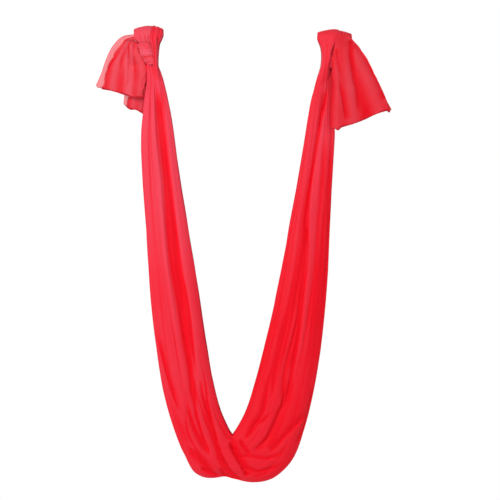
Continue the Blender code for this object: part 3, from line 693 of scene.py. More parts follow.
def buildSling():
    rows = sling["rows"]
    reach = 1 + sling["overrun"]
    along = np.linspace(-reach, reach, rows)
    depths = sling["layerDepths"]
    layers = len(depths)
    breadth = breadthAt(along)
    bulge = sling["turnBulge"] / breadth
    insets = np.zeros((layers + 1, rows))
    ends = eased((reach - np.abs(along)) / sling["staggerFade"])
    for k in range(layers + 1):
        wobble = 0.5 + 0.5 * slowWander(sling["edgeSeed"] + k, rows, sling["edgeWaves"])
        room = sling["frontStagger"] if k in (0, 1, layers - 1, layers) else sling["innerStagger"]
        insets[k] = bulge + (sling["leastStagger"] + room * wobble * ends) / breadth
    samples = [sling["frontSamples"]] + [sling["layerSamples"]] * (layers - 2) + [sling["backSamples"]]
    turnSamples = [sling["floorSamples"] if k in sling["floorTurns"] else sling["turnSamples"]
                   for k in range(layers - 1)]
    depth, across, layerOf = zigzag(depths, insets, bulge, samples, turnSamples, 1)
    alongGrid = np.repeat(along[:, None], depth.shape[1], 1)
    x, z = slingPlace(alongGrid, across)
    y, rise, deeper = slingDepth(depth, alongGrid, across, x, z)
    points = np.stack([x, y, z], -1)
    flat = paintedLightAlongAt(alongGrid)
    change = paintedFoldShade(rise, sling["toneReach"])
    paintedHighlightShare = np.clip(sling["seatCrest"] + sling["crestGain"] * flat, 0, 1)
    # the flat tone, with the painted highlight on crests kept less in deep-toned cloth, painted shade in
    # folds, and the bands' painted shade taken off
    tone = flat + np.where(change > 0, change * paintedHighlightShare, change) - deeper
    uv = clothUv(points, (along + reach) / (2 * reach), 2 * reach * halfLength)
    cuts = [0]
    for turn in sling["cutTurns"]:
        columns = np.nonzero(layerOf == turn + 0.5)[0]
        cuts.append(int(columns[len(columns) // 2]))
    cuts.append(points.shape[1] - 1)
    pieces = []
    for name, low, high in zip(sling["pieces"], cuts, cuts[1:]):
        chosen = slice(low, high + 1)
        pieces.append(gridMesh(name, points[:, chosen], uv[:, chosen], tone[:, chosen], slingCloth))
    return pieces


slingPieces = buildSling()
slingFront, slingFrontLayers, slingFrontCore, slingBackCore, slingBackLayers, slingBack = slingPieces
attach(slingFront, "front_edge")
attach(slingBack, "back_edge")
for piece, outerBody, innerBody, plane in (
        (slingFrontLayers, "front_edge", "front_fold", -sling["outerPlane"]),
        (slingFrontCore, "front_fold", "hammock", -sling["innerPlane"]),
        (slingBackCore, "back_fold", "hammock", sling["innerPlane"]),
        (slingBackLayers, "back_edge", "back_fold", sling["outerPlane"])):
    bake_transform(piece)
stretches = ("left_leg", "seat", "right_leg")
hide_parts(*[f"front_edge_{word}" for word in stretches])
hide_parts(*[f"{fold}_{word}" for fold in ("front_fold", "middle_fold")
                              for word in stretches])
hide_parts(*[f"back_fold_{word}" for word in stretches])
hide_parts(*[f"back_edge_{word}" for word in stretches])
print("sling laid in", len(slingPieces), "pieces")


# The knots

knots = {
    "eye": 0.390,               # each loop's middle, out from the object's middle
    "sheetWidth": 2.8,
    "widths": (0.126, 0.146),   # of the left loop and the right one
    "innerRadius": 0.0200,
    "thickness": 0.0195,
    "doming": 0.80,             # how much thinner the loop is at its sides, and how sharply
    "domingPower": 1.8,
    "tuck": 0.100,              # how far the loop's feet go down into the hitch
    "leanReach": 0.080,         # metres down over which the feet lean towards the neck
    "neckOut": 0.024,           # the neck's middle moves out by neckOut over neckRise
    "neckRise": 0.125,
    "deepestPleat": 0.8,
    "turnBulge": 0.0012,        # metres that the cloth rounds out where it turns back
    "turnColumns": 5,
    "edgeWaves": 4,
    "toneReach": (4, 4),        # rows and columns over which a fold's painted shade and highlight are judged
    "footSoftness": 0.008,
    "wrapSoftness": 0.003,
    "feet": (                   # height, breadth as a share of the width, thickness as a share, inner radius
        (-0.100, 0.36, 0.42, 0.006), (-0.070, 0.42, 0.44, 0.010), (-0.050, 0.52, 0.52, 0.015),
        (-0.036, 0.68, 0.66, 0.018), (-0.018, 0.88, 0.88, 0.020), (0.000, 1.00, 1.00, 0.020),
    ),
    "wraps": (                  # height, inner edge and outer edge from the object's middle, half the depth
        (-0.126, 0.3450, 0.3950, 0.032), (-0.118, 0.3460, 0.4030, 0.037),
        (-0.105, 0.3475, 0.4120, 0.040), (-0.085, 0.3470, 0.4250, 0.0425),
        (-0.064, 0.3455, 0.4360, 0.0420), (-0.058, 0.3460, 0.4365, 0.0395),
        (-0.050, 0.3440, 0.4420, 0.0410), (-0.042, 0.3450, 0.4420, 0.0390),
        (-0.037, 0.3480, 0.4390, 0.0350),
    ),
    "wrapWall": 0.015,
    "mouthWall": 0.10,          # the share of the wall at the mouth, where the leg comes out
    "mouthRise": 0.030,
    "wrapTilt": 0.0015,         # metres that the wraps go up and down on their way round
    "wrapTiltTurn": 1.0,
    "wrinkleHeight": 0.0007,    # fine wrinkles round the wraps
    "wrinkleTurns": 260,
    "wrinkleSway": 3,
}
lining = {
    "inner": 0.0163,            # radius of the innermost layer, which lies on the carabiner or bar
    "wall": 0.0028,
    "turn": 80,                 # degrees each way from the top
    "margin": 0.008,            # how much narrower it is than the loop at each side
    "wrinkleHeight": 0.0003,
    "wrinkleWaves": 9,
    "wrinkleSlant": 2,
}
# The folded straps. columns are those of a hidden layer and of the outermost one, edgeRoom is how far the
# folded edges may lie back, and the seeds are for left and right. The lining is as broad as the loop.
straps = {
    "loop": {"layers": 22, "rows": 84, "columns": (12, 80), "edgeRoom": 0.003, "knitLength": 0.30,
             "seeds": (200, 230), "flatLength": 0.29, "share": 0.88, "held": "gathered"},
    "lining": {"layers": 3, "rows": 40, "columns": (20, 20), "edgeRoom": 0.002, "knitLength": 0.06,
               "seeds": (260, 260), "flatLength": 0.05, "share": 0.12, "held": "folded"},
    "wraps": {"layers": 28, "rows": 97, "columns": (8, 72), "edgeRoom": 0.001, "knitLength": 0.27,
              "seeds": (299, 301), "flatLength": 0.22, "share": 1.0, "held": "gathered", "breadth": 0.089},
    "slack": {"layers": 4, "rows": 110, "columns": (14, 64), "edgeRoom": 0.002, "knitLength": 0.48,
              "seeds": (340, 350), "flatLength": 0.50, "held": "gathered", "breadth": 0.05},
}
# Pleats: place across at the foot and at the crown from -1 to 1, depth, width to the left, to the right,
# and the share of the depth that's left over the crown
leftPleats = ((0.23, 0.32, 0.0060, 0.05, 0.020, 0.6), (0.34, 0.50, 0.0046, 0.045, 0.02, 0.6),
              (0.64, 0.86, 0.0056, 0.06, 0.025, 0.6), (0.05, -0.10, 0.0036, 0.03, 0.025, 0.1),
              (-0.20, -0.30, 0.0030, 0.03, 0.025, 0.1), (-0.62, -0.55, 0.0016, 0.10, 0.06, 0.5),
              (-0.82, -0.86, 0.0020, 0.02, 0.05, 0.8))
rightPleats = ((0.25, 0.46, 0.0050, 0.05, 0.03, 0.8), (0.66, 0.80, 0.0040, 0.04, 0.05, 0.4),
               (-0.16, 0.04, 0.0034, 0.08, 0.03, 0.7), (-0.55, -0.50, 0.0016, 0.10, 0.08, 0.6),
               (0.45, 0.60, 0.0024, 0.04, 0.04, 0.3), (-0.80, -0.84, 0.0018, 0.02, 0.05, 0.8))
backPleats = ((-0.45, -0.62, 0.0040, 0.03, 0.07, 0.8), (-0.12, -0.20, 0.0034, 0.04, 0.06, 0.8),
              (0.22, 0.30, 0.0040, 0.06, 0.03, 0.8), (0.55, 0.72, 0.0032, 0.06, 0.03, 0.8))
pleating = {
    "leanStart": -0.045,    # height from which the pleats lean towards their place at the crown
    "leanReach": 0.050,
    "leanShare": 0.35,      # the share of the way that they have gone where the arch starts
    "frontEnd": 1.75,       # turn over the crown, in radians, where the front pleats have ended
    "frontFade": 0.6,
    "crownStart": -0.020,   # height from which a pleat takes the depth that it has over the crown
    "crownFlatter": 0.35,
    "power": 1.3,
    "edgeLevel": 1.1,       # they run out at the loop's sides
    "edgePower": 4,
}


def looseEdges(layers, rows, room, seed):  # metres that each folded edge lies back from the strap's side
    return [room * (0.5 + 0.5 * slowWander(seed + k, rows, knots["edgeWaves"])) for k in range(layers + 1)]


def layUp(name, place, samples, insets, breadth, length, material, firstSide=0, flatTone=0.45, boost=1.0):
    # A strap of cloth folded back and forth. samples has the columns of each layer, and insets how far back
    # each folded edge lies, in metres, row by row. place turns along, across and depth shares into points,
    # and into how far each point stands out. flatTone is one value, or a column with one for each row.
    insets = np.array(insets)
    layers, rows = len(samples), insets.shape[1]
    along = np.linspace(0, 1, rows)
    bulge = knots["turnBulge"] / breadth
    turns = [knots["turnColumns"]] * (layers - 1)
    edges = insets / breadth + bulge
    depth, across, _ = zigzag(np.linspace(0, 1, layers), edges, bulge, samples, turns, firstSide)
    points, rise = place(np.repeat(along[:, None], depth.shape[1], 1), across, depth)
    # the flat tone plus the folds' painted shade and highlight
    tone = flatTone + paintedFoldShade(rise, knots["toneReach"], boost)
    return gridMesh(name, points, clothUv(points, along, length), tone, material), points


def sheetArea(points):
    a, b, c, d = points[:-1, :-1], points[:-1, 1:], points[1:, 1:], points[1:, :-1]
    return float(np.linalg.norm(np.cross(c - a, d - b), axis=-1).sum() / 2)


def layStrap(name, place, kind, side, breadth, material, **shading):
    strap = straps[kind]
    hidden, outermost = strap["columns"]
    samples = [hidden] * (strap["layers"] - 1) + [outermost]
    insets = looseEdges(strap["layers"], strap["rows"], strap["edgeRoom"], strap["seeds"][side > 0])
    piece, points = layUp(name, place, samples, insets, breadth, strap["knitLength"], material, **shading)
    return piece, sheetArea(points)


def neckMiddle(height):
    return sling["neckSpacing"] / 2 + knots["neckOut"] * (height - sling["neckHeight"]) / knots["neckRise"]


footAt = [easedTable(knots["feet"], column, knots["footSoftness"]) for column in (1, 2, 3)]
wrapAt = [easedTable(knots["wraps"], column, knots["wrapSoftness"]) for column in (1, 2, 3)]
wrapFoot, wrapTop = knots["wraps"][0][0], knots["wraps"][-1][0]


def loopRun(along, tuck, radius):  # height of the straight part, and turn over the top from 0 to pi
    arc = math.pi * radius
    run = along * (2 * tuck + arc)
    turn = np.clip((run - tuck) / arc, 0, 1) * math.pi
    height = np.where(run < tuck, run - tuck, np.where(run > tuck + arc, tuck + arc - run, 0.0))
    return height, turn


def loopThickness(height, aside):  # outer radius over the inner one, at a place across from -1 to 1
    domed = 1 - knots["doming"] * np.abs(aside) ** knots["domingPower"]
    return knots["thickness"] * footAt[1](height) * domed


def pleatDepth(aside, height, turn, frontTable, backTable):
    total = np.zeros(aside.shape)
    leant = eased((height - pleating["leanStart"]) / pleating["leanReach"]) * pleating["leanShare"]
    crown = leant + (1 - pleating["leanShare"]) * np.sin(turn)
    overCrown = eased((height - pleating["crownStart"]) / -pleating["crownStart"])
    atFront = eased((pleating["frontEnd"] - turn) / pleating["frontFade"])
    for table, share in ((frontTable, atFront), (backTable, 1 - atFront)):
        for foot, top, depth, toLeft, toRight, over in table:
            off = aside - (foot + (top - foot) * crown)
            reach = np.where(off < 0, toLeft, toRight)
            kept = 1 - (1 - over) * overCrown
            total += share * kept * depth * np.exp(-(np.abs(off) / reach) ** pleating["power"])
    atEdge = np.clip(pleating["edgeLevel"] - np.abs(aside) ** pleating["edgePower"], 0, 1)
    return total * (1 - pleating["crownFlatter"] * np.sin(turn)) * atEdge


# the left knot is paler than the right: painted light from the key lamp at the left
def knotTone(side):
    return dyeAndPaintedLight["leftTone"] if side < 0 else dyeAndPaintedLight["rightTone"]


def makeLoop(name, side, width, pleats):
    def place(along, across, depth):
        height, turn = loopRun(along, knots["tuck"], knots["innerRadius"] + knots["thickness"] / 2)
        aside = 2 * across - 1
        half = width / 2 * footAt[0](height)
        inner = footAt[2](height)
        thick = loopThickness(height, aside)
        sunk = pleatDepth(aside, height, turn, pleats, backPleats)
        sunk = np.minimum(sunk, knots["deepestPleat"] * thick) * depth
        radius = inner + depth * thick - sunk
        lean = eased(-height / knots["leanReach"])
        x = side * (knots["eye"] + (neckMiddle(height) - knots["eye"]) * lean) + aside * half
        return np.stack([x, -np.cos(turn) * radius, height + np.sin(turn) * radius], -1), -sunk
    return layStrap(name, place, "loop", side, width, knotCloth, flatTone=knotTone(side),
                    boost=dyeAndPaintedLight["knotBoost"])


def makeLining(name, side, width):
    def place(along, across, depth):
        turn = math.radians(90) + (2 * along - 1) * math.radians(lining["turn"])
        radius = lining["inner"] + depth * lining["wall"]
        waves = np.sin(lining["wrinkleWaves"] * np.pi * across + lining["wrinkleSlant"] * turn)
        radius = radius + lining["wrinkleHeight"] * waves
        x = side * knots["eye"] + (2 * across - 1) * (width / 2 - lining["margin"])
        return np.stack([x, -np.cos(turn) * radius, np.sin(turn) * radius], -1), radius * 0
    return layStrap(name, place, "lining", side, width, liningCloth)


def makeWraps(name, side, creases):
    phase = straps["wraps"]["seeds"][side > 0]
    def place(along, across, depth):
        turn = 2 * np.pi * along
        tilt = knots["wrapTilt"] * np.sin(turn + knots["wrapTiltTurn"])
        height = wrapFoot + (wrapTop - wrapFoot) * across + tilt
        clipped = np.clip(height, wrapFoot, wrapTop)
        inner, outer, deep = [table(clipped) for table in wrapAt]
        closed = eased((clipped - wrapFoot) / knots["mouthRise"])
        mouth = knots["mouthWall"] + (1 - knots["mouthWall"]) * closed
        shrink = (1 - depth) * knots["wrapWall"] * mouth
        middle = (inner + outer) / 2
        acrossHalf = (outer - inner) / 2 - shrink
        x = side * middle + np.cos(turn) * acrossHalf
        y = np.sin(turn) * (deep - shrink)
        waves = np.sin(knots["wrinkleTurns"] * height + knots["wrinkleSway"] * np.sin(turn) + phase)
        sunk = creaseField(x, height, creases) * depth**2
        sunk += knots["wrinkleHeight"] * depth**2 * waves
        x = x - np.cos(turn) * sunk
        y = y - np.sin(turn) * sunk
        return np.stack([x, y, height], -1), -sunk
    return layStrap(name, place, "wraps", side, straps["wraps"]["breadth"], knotCloth,
                    flatTone=knotTone(side), boost=dyeAndPaintedLight["knotBoost"])


# Creases of the wraps, in the same order of values as the sling's
leftWrapCreases = [
    (0.0050, 0.0020, 0.0040, 0.05, 0.1, ((-0.446, -0.0400),
     (-0.426, -0.0430), (-0.402, -0.0445), (-0.360, -0.0380))),
    (0.0045, 0.0020, 0.0040, 0.05, 0.1, ((-0.444, -0.0500),
     (-0.420, -0.0510), (-0.396, -0.0530), (-0.360, -0.0480))),
    (0.0060, 0.0022, 0.0045, 0.05, 0.1, ((-0.440, -0.0590),
     (-0.420, -0.0615), (-0.396, -0.0605), (-0.360, -0.0600))),
    (0.0026, 0.0018, 0.0035, 0.2, 0.2, ((-0.424, -0.0730), (-0.399, -0.0780), (-0.372, -0.0720))),
    (0.0034, 0.0018, 0.0040, 0.2, 0.2, ((-0.419, -0.0910),
     (-0.395, -0.0990), (-0.369, -0.0900), (-0.354, -0.0770))),
    (0.0030, 0.0018, 0.0040, 0.2, 0.2, ((-0.411, -0.1020),
     (-0.389, -0.1090), (-0.371, -0.1020), (-0.357, -0.0920))),
    (0.0026, 0.0018, 0.0035, 0.2, 0.2, ((-0.404, -0.1150), (-0.388, -0.1180), (-0.365, -0.1120))),
    (0.0050, 0.0030, 0.0030, 0.2, 0.4, ((-0.439, -0.0600), (-0.431, -0.0700), (-0.424, -0.0850))),
]
rightWrapCreases = [
    (0.0030, 0.0030, 0.0030, 0.1, 0.1, ((0.350, -0.0440), (0.385, -0.0480), (0.438, -0.0450))),
    (0.0045, 0.0035, 0.0035, 0.1, 0.1, ((0.346, -0.0600), (0.390, -0.0660), (0.436, -0.0580))),
    (0.0030, 0.0030, 0.0030, 0.1, 0.1, ((0.348, -0.0800), (0.380, -0.0920), (0.425, -0.0760))),
    (0.0030, 0.0030, 0.0030, 0.1, 0.1, ((0.348, -0.1020), (0.378, -0.1120), (0.412, -0.0980))),
]

# Slack cloth that runs from the loop past the hitch into the leg
slack = {
    "softness": 0.010,
    "tuck": 0.0065,             # how far its edge turns in against the wraps, and over what breadth
    "tuckReach": 0.011,
    "clear": 0.001,
    "roundness": 0.97,          # how far its depth falls off towards the free edge, and what's left at least
    "leastRound": 0.02,
    "overLoop": 0.0006,         # metres that it lies over the loop's crown
    "belowReach": 0.040,        # metres down over which it leaves the loop's shape for the leg's
    "wall": 0.0022,
    "slantReach": 0.12,
    "rippleSlant": 9,
    "crownRipple": 0.25,        # the share of the ripples that's left over the crown
    "rippleStart": 0.03,        # metres up from the lower end where they start
    "rippleRise": 0.09,         # and over which they reach their full height
    "toneReach": 0.28,          # share of the run over which the tone changes from the leg's to the loop's
}
# height, inner and outer edge, half the depth
leftSlack = ((-0.230, 0.312, 0.384, 0.014), (-0.195, 0.324, 0.376, 0.0265),
             (-0.165, 0.335, 0.370, 0.0345), (-0.150, 0.3405, 0.369, 0.0380),
             (-0.130, 0.3455, 0.367, 0.0415), (-0.100, 0.3470, 0.367, 0.0455),
             (-0.060, 0.3450, 0.3715, 0.0460), (-0.036, 0.3420, 0.3790, 0.0425),
             (-0.015, 0.339, 0.385, 0.0405), (0.000, 0.3315, 0.382, 0.0405))
rightSlack = ((-0.250, 0.300, 0.366, 0.014), (-0.205, 0.309, 0.369, 0.0265),
              (-0.180, 0.3145, 0.372, 0.0325), (-0.158, 0.3205, 0.3745, 0.0370),
              (-0.140, 0.3265, 0.3740, 0.0400), (-0.116, 0.3335, 0.3745, 0.0440),
              (-0.085, 0.3365, 0.3800, 0.0460), (-0.058, 0.3350, 0.3810, 0.0455),
              (-0.036, 0.3310, 0.3900, 0.0425), (-0.015, 0.323, 0.400, 0.0405),
              (0.000, 0.3175, 0.408, 0.0405))


def makeSlack(name, side, width, table, waves, slant, crownShift):
    edges = [easedTable(table, column, slack["softness"]) for column in (1, 2, 3)]
    tuck = -table[0][0]
    crownRadius = knots["innerRadius"] + knots["thickness"]
    def place(along, across, depth):
        height, turn = loopRun(along, tuck, crownRadius)
        inner, outer = edges[0](height), edges[1](height) - crownShift * np.sin(turn)
        slanted = height + slant * (across - 0.5) * eased(-height / slack["slantReach"])
        deep = edges[2](np.maximum(slanted, -tuck))
        reach = outer + (inner - outer) * (across if side < 0 else 1 - across)
        aside = (reach - knots["eye"]) / (width / 2)
        beside = np.clip(height, wrapFoot, wrapTop)
        wrapMiddle = 0.5 * (wrapAt[0](beside) + wrapAt[1](beside))
        wrapHalf = wrapMiddle - inner + slack["clear"]
        off = np.clip((wrapMiddle - reach) / wrapHalf, 0, 1)
        belowDeep = deep * np.sqrt(np.clip(1 - slack["roundness"] * off**3, slack["leastRound"], 1))
        thick = loopThickness(height * 0, np.clip(np.abs(aside), 0, 1))
        over = thick + knots["innerRadius"] + slack["overLoop"]
        below = eased(-height / slack["belowReach"])
        tucked = eased(1 - np.abs(outer - reach) / slack["tuckReach"])
        radius = over + (belowDeep - slack["tuck"] * tucked - over) * below
        radius = radius + depth * slack["wall"]
        rise = np.zeros(radius.shape)
        share = slack["crownRipple"] + (1 - slack["crownRipple"]) * below
        grown = eased((height + tuck - slack["rippleStart"]) / slack["rippleRise"])
        for count, amount, phase in waves:
            wave = np.sin(2 * np.pi * count * across + phase + slack["rippleSlant"] * height)
            rise += amount * wave * depth * share * grown
        radius = radius + rise
        return np.stack([side * reach, -np.cos(turn) * radius, height + np.sin(turn) * radius], -1), rise
    # the slack's flat tone, paler on the left as painted light from the key lamp
    low, high = dyeAndPaintedLight["leftSlackTone" if side < 0 else "rightSlackTone"]
    run = np.linspace(0, 1, straps["slack"]["rows"])[:, None]
    flatTone = low + (high - low) * eased(run / slack["toneReach"])
    return layStrap(name, place, "slack", side, straps["slack"]["breadth"], slingCloth, flatTone=flatTone,
                    boost=dyeAndPaintedLight["knotBoost"])


# Side, its name, edges, ripples as waves across with height and phase, slant, shift of the outer edge at the
# crown, share of the sheet
slackLooks = (
    (-1, "left", leftSlack, ((2.0, 0.0034, 0.8), (4.5, 0.0012, 2.0)), 0.06, 0.010, 0.06),
    (1, "right", rightSlack, ((1.5, 0.0010, 0.4), (3.5, 0.0004, 1.0)), -0.08, 0.0, 0.09),
)


for side, sideName, width, pleats, creases in (
        (-1, "left", knots["widths"][0], leftPleats, leftWrapCreases),
        (1, "right", knots["widths"][1], rightPleats, rightWrapCreases)):
    loopPiece, area = makeLoop(sideName + "LoopCloth", side, width, pleats)
    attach(loopPiece, "hammock")
    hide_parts(sideName + "_loop")
    liningPiece, area = makeLining(sideName + "LiningCloth", side, width)
    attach(liningPiece, "loop_linings")
    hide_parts(sideName + "_loop_lining")
    wrapPiece, area = makeWraps(sideName + "WrapCloth", side, creases)
    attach(wrapPiece, "hammock")
    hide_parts(sideName + "_hitch", sideName + "_neck")
for side, sideName, edges, waves, slant, crownShift, share in slackLooks:
    width = knots["widths"][side > 0]
    slackPiece, area = makeSlack(sideName + "SlackCloth", side, width, edges, waves, slant, crownShift)
    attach(slackPiece, "hammock")
print("knots tied")


# The tails: loose ends that fan out from the hitches

tails = {
    "rows": 72,
    "columns": (22, 90, 60),        # in a hidden layer, in the layer that shows and in the last one
    "spreadReach": 0.7,             # share of the length over which a tail opens to its full depth
    "waveDrift": 1.5,
    "creaseFade": 1.5,              # how fast the creases fade from the layer that shows to those under it
    "edgeWaves": 2,
    "firstRoom": (0.0, 0.002),      # the inset of the first edge: the least, and how much it varies
    "hemWave": 0.0025,              # metres that the hem waves up and down
    "hemPower": 4,
    "hemLag": 10,
    "curlPower": 24,
    "layBackReach": 0.15,           # share of the breadth
    # Where the left tail comes forward: start, rise, end and fall, by height and out from the wraps
    "forwardHeight": (-0.330, 0.110, -0.010, 0.025),
    "forwardAside": (-0.030, 0.026, 0.070, 0.055),
    "besideGap": 0.003,
    "besideLean": 0.05,
    "rootRise": 0.045,              # metres down over which the right tail leaves the loop it lies on
    "leastRound": 0.004,
    "rootStart": (0.436, 0.004),    # x and z where the cloth starts to follow the tail
    "rootEnd": (0.495, -0.095),     # and where it follows it fully
}
bead = {
    "radius": 0.0016,
    "sides": 8,
    "unevenness": 0.15,
    "unevenWaves": 40,
    "selvageSize": 0.7,             # a selvage's radius as a share of the hem's
    "tone": 0.5,
}
# Guide lines from hitch to hem, x and z, from the inner edge to the outer edge
leftFlapGuides = (
    ((-0.436, -0.018), (-0.428, -0.068), (-0.402, -0.118),
     (-0.388, -0.165), (-0.393, -0.214), (-0.404, -0.262)),
    ((-0.441, -0.013), (-0.447, -0.060), (-0.443, -0.110),
     (-0.442, -0.160), (-0.446, -0.210), (-0.452, -0.257)),
    ((-0.446, -0.008), (-0.464, -0.046), (-0.472, -0.094),
     (-0.478, -0.146), (-0.484, -0.198), (-0.490, -0.246)),
    ((-0.449, -0.003), (-0.480, -0.030), (-0.504, -0.075),
     (-0.520, -0.128), (-0.532, -0.180), (-0.540, -0.231)),
    ((-0.450, 0.001), (-0.497, -0.018), (-0.530, -0.061),
     (-0.552, -0.112), (-0.569, -0.168), (-0.582, -0.224)),
    ((-0.449, 0.009), (-0.506, -0.004), (-0.548, -0.049),
     (-0.571, -0.104), (-0.589, -0.158), (-0.612, -0.209)),
)
leftUnderGuides = (
    ((-0.434, -0.022), (-0.418, -0.075), (-0.396, -0.130),
     (-0.389, -0.190), (-0.394, -0.256), (-0.406, -0.326)),
    ((-0.440, -0.020), (-0.436, -0.076), (-0.428, -0.132),
     (-0.427, -0.190), (-0.431, -0.250), (-0.440, -0.307)),
    ((-0.446, -0.017), (-0.453, -0.068), (-0.457, -0.122),
     (-0.460, -0.180), (-0.464, -0.242), (-0.469, -0.304)),
    ((-0.451, -0.011), (-0.467, -0.057), (-0.478, -0.107),
     (-0.486, -0.163), (-0.491, -0.223), (-0.4945, -0.283)),
)
rightFlapGuides = (
    ((0.396, 0.016), (0.383, -0.060), (0.379, -0.130),
     (0.383, -0.210), (0.380, -0.295), (0.379, -0.378)),
    ((0.412, 0.018), (0.408, -0.058), (0.412, -0.132),
     (0.420, -0.212), (0.427, -0.294), (0.432, -0.369)),
    ((0.428, 0.018), (0.432, -0.048), (0.447, -0.116),
     (0.466, -0.190), (0.484, -0.268), (0.500, -0.346)),
    ((0.443, 0.014), (0.455, -0.042), (0.480, -0.100),
     (0.510, -0.168), (0.540, -0.240), (0.573, -0.311)),
    ((0.455, 0.008), (0.499, -0.046), (0.536, -0.104),
     (0.568, -0.166), (0.597, -0.229), (0.629, -0.294)),
)
rightUnderGuides = (
    ((0.408, 0.000), (0.408, -0.070), (0.412, -0.140),
     (0.418, -0.210), (0.426, -0.282), (0.434, -0.352)),
    ((0.424, 0.000), (0.434, -0.066), (0.448, -0.132),
     (0.462, -0.200), (0.476, -0.268), (0.490, -0.332)),
    ((0.440, -0.004), (0.466, -0.060), (0.490, -0.118),
     (0.512, -0.180), (0.532, -0.242), (0.552, -0.304)),
)
leftTailCreases = [
    (0.008, 0.004, 0.010, 0.2, 0.4, ((-0.455, -0.010), (-0.473, -0.039),
     (-0.475, -0.074), (-0.473, -0.163), (-0.486, -0.240))),
    (0.006, 0.004, 0.008, 0.2, 0.4, ((-0.447, -0.020), (-0.449, -0.044),
     (-0.457, -0.074), (-0.451, -0.118), (-0.445, -0.221))),
    (0.003, 0.006, 0.004, 0.2, 0.3, ((-0.470, -0.014), (-0.491, -0.027),
     (-0.525, -0.087), (-0.551, -0.123), (-0.573, -0.194))),
    (0.004, 0.008, 0.006, 0.3, 0.4, ((-0.482, -0.040), (-0.500, -0.090), (-0.510, -0.150))),
]
rightTailCreases = [
    (0.008, 0.010, 0.010, 0.2, 0.2, ((0.450, 0.000), (0.456, -0.023),
     (0.461, -0.085), (0.473, -0.172), (0.487, -0.224), (0.492, -0.330))),
    (0.005, 0.004, 0.016, 0.6, 0.1, ((0.408, -0.150),
     (0.415, -0.212), (0.426, -0.260), (0.442, -0.350))),
    (0.003, 0.006, 0.006, 0.3, 0.4, ((0.400, -0.034), (0.402, -0.086), (0.425, -0.190))),
    (0.007, 0.014, 0.006, 0.1, 0.1, ((0.470, -0.015), (0.502, -0.056),
     (0.527, -0.098), (0.556, -0.153), (0.582, -0.204), (0.611, -0.266))),
]


def fanOut(guides, along, across, steps=120):  # x and z between the guide lines
    lines = np.array([smoothCurve(guide, steps + 1) for guide in guides])
    rowsAt = np.clip(along, 0, 1) * steps
    i = np.minimum(rowsAt.astype(int), steps - 1)
    f = (rowsAt - i)[..., None]
    spots = np.clip(across, 0, 1) * (len(guides) - 1)
    j = np.minimum(spots.astype(int), len(guides) - 2)
    g = (spots - j)[..., None]
    def at(k):
        k = np.clip(k, 0, len(guides) - 1)
        return lines[k, i] * (1 - f) + lines[k, i + 1] * f
    a, b, c, d = at(j - 1), at(j), at(j + 1), at(j + 2)
    a = np.where((j == 0)[..., None], 2 * b - c, a)
    d = np.where((j == len(guides) - 2)[..., None], 2 * c - b, d)
    place = 0.5 * (2 * b + (c - a) * g + (2 * a - 5 * b + 4 * c - d) * g**2 + (3 * b - a - 3 * c + d) * g**3)
    beyond = across - np.clip(across, 0, 1)
    place += (c - b) * (len(guides) - 1) * beyond[..., None]
    return place[..., 0], place[..., 1]


def rollHem(name, points, material, size=1.0):  # a bead of rolled cloth along a sheet's last row
    edge = points[-1]
    down = points[-1] - points[-3]
    down /= np.linalg.norm(down, axis=1)[:, None]
    forward = np.gradient(edge, axis=0)
    forward /= np.linalg.norm(forward, axis=1)[:, None] + 1e-12
    out = np.cross(forward, down)
    out /= np.linalg.norm(out, axis=1)[:, None] + 1e-12
    sides, count = bead["sides"], len(edge)
    share = np.linspace(0, 1, count)
    rings = []
    for k in range(sides):
        turn = 2 * np.pi * k / sides
        uneven = 1 + bead["unevenness"] * np.sin(2 * np.pi * (bead["unevenWaves"] * share + k / sides))
        radius = size * bead["radius"] * uneven[:, None]
        rings.append(edge + radius * (math.cos(turn) * down + math.sin(turn) * out))
    rings = np.stack(rings, 1)
    faces = []
    for i in range(count - 1):
        for k in range(sides):
            n = (k + 1) % sides
            faces.append((i * sides + k, i * sides + n, (i + 1) * sides + n, (i + 1) * sides + k))
    faces.append(tuple(reversed(range(sides))))
    faces.append(tuple(range((count - 1) * sides, count * sides)))
    mesh = bpy.data.meshes.new(name)
    mesh.from_pydata(rings.reshape(-1, 3).tolist(), [], faces)
    return addPiece(name, mesh, np.full(len(mesh.vertices), bead["tone"]), material)


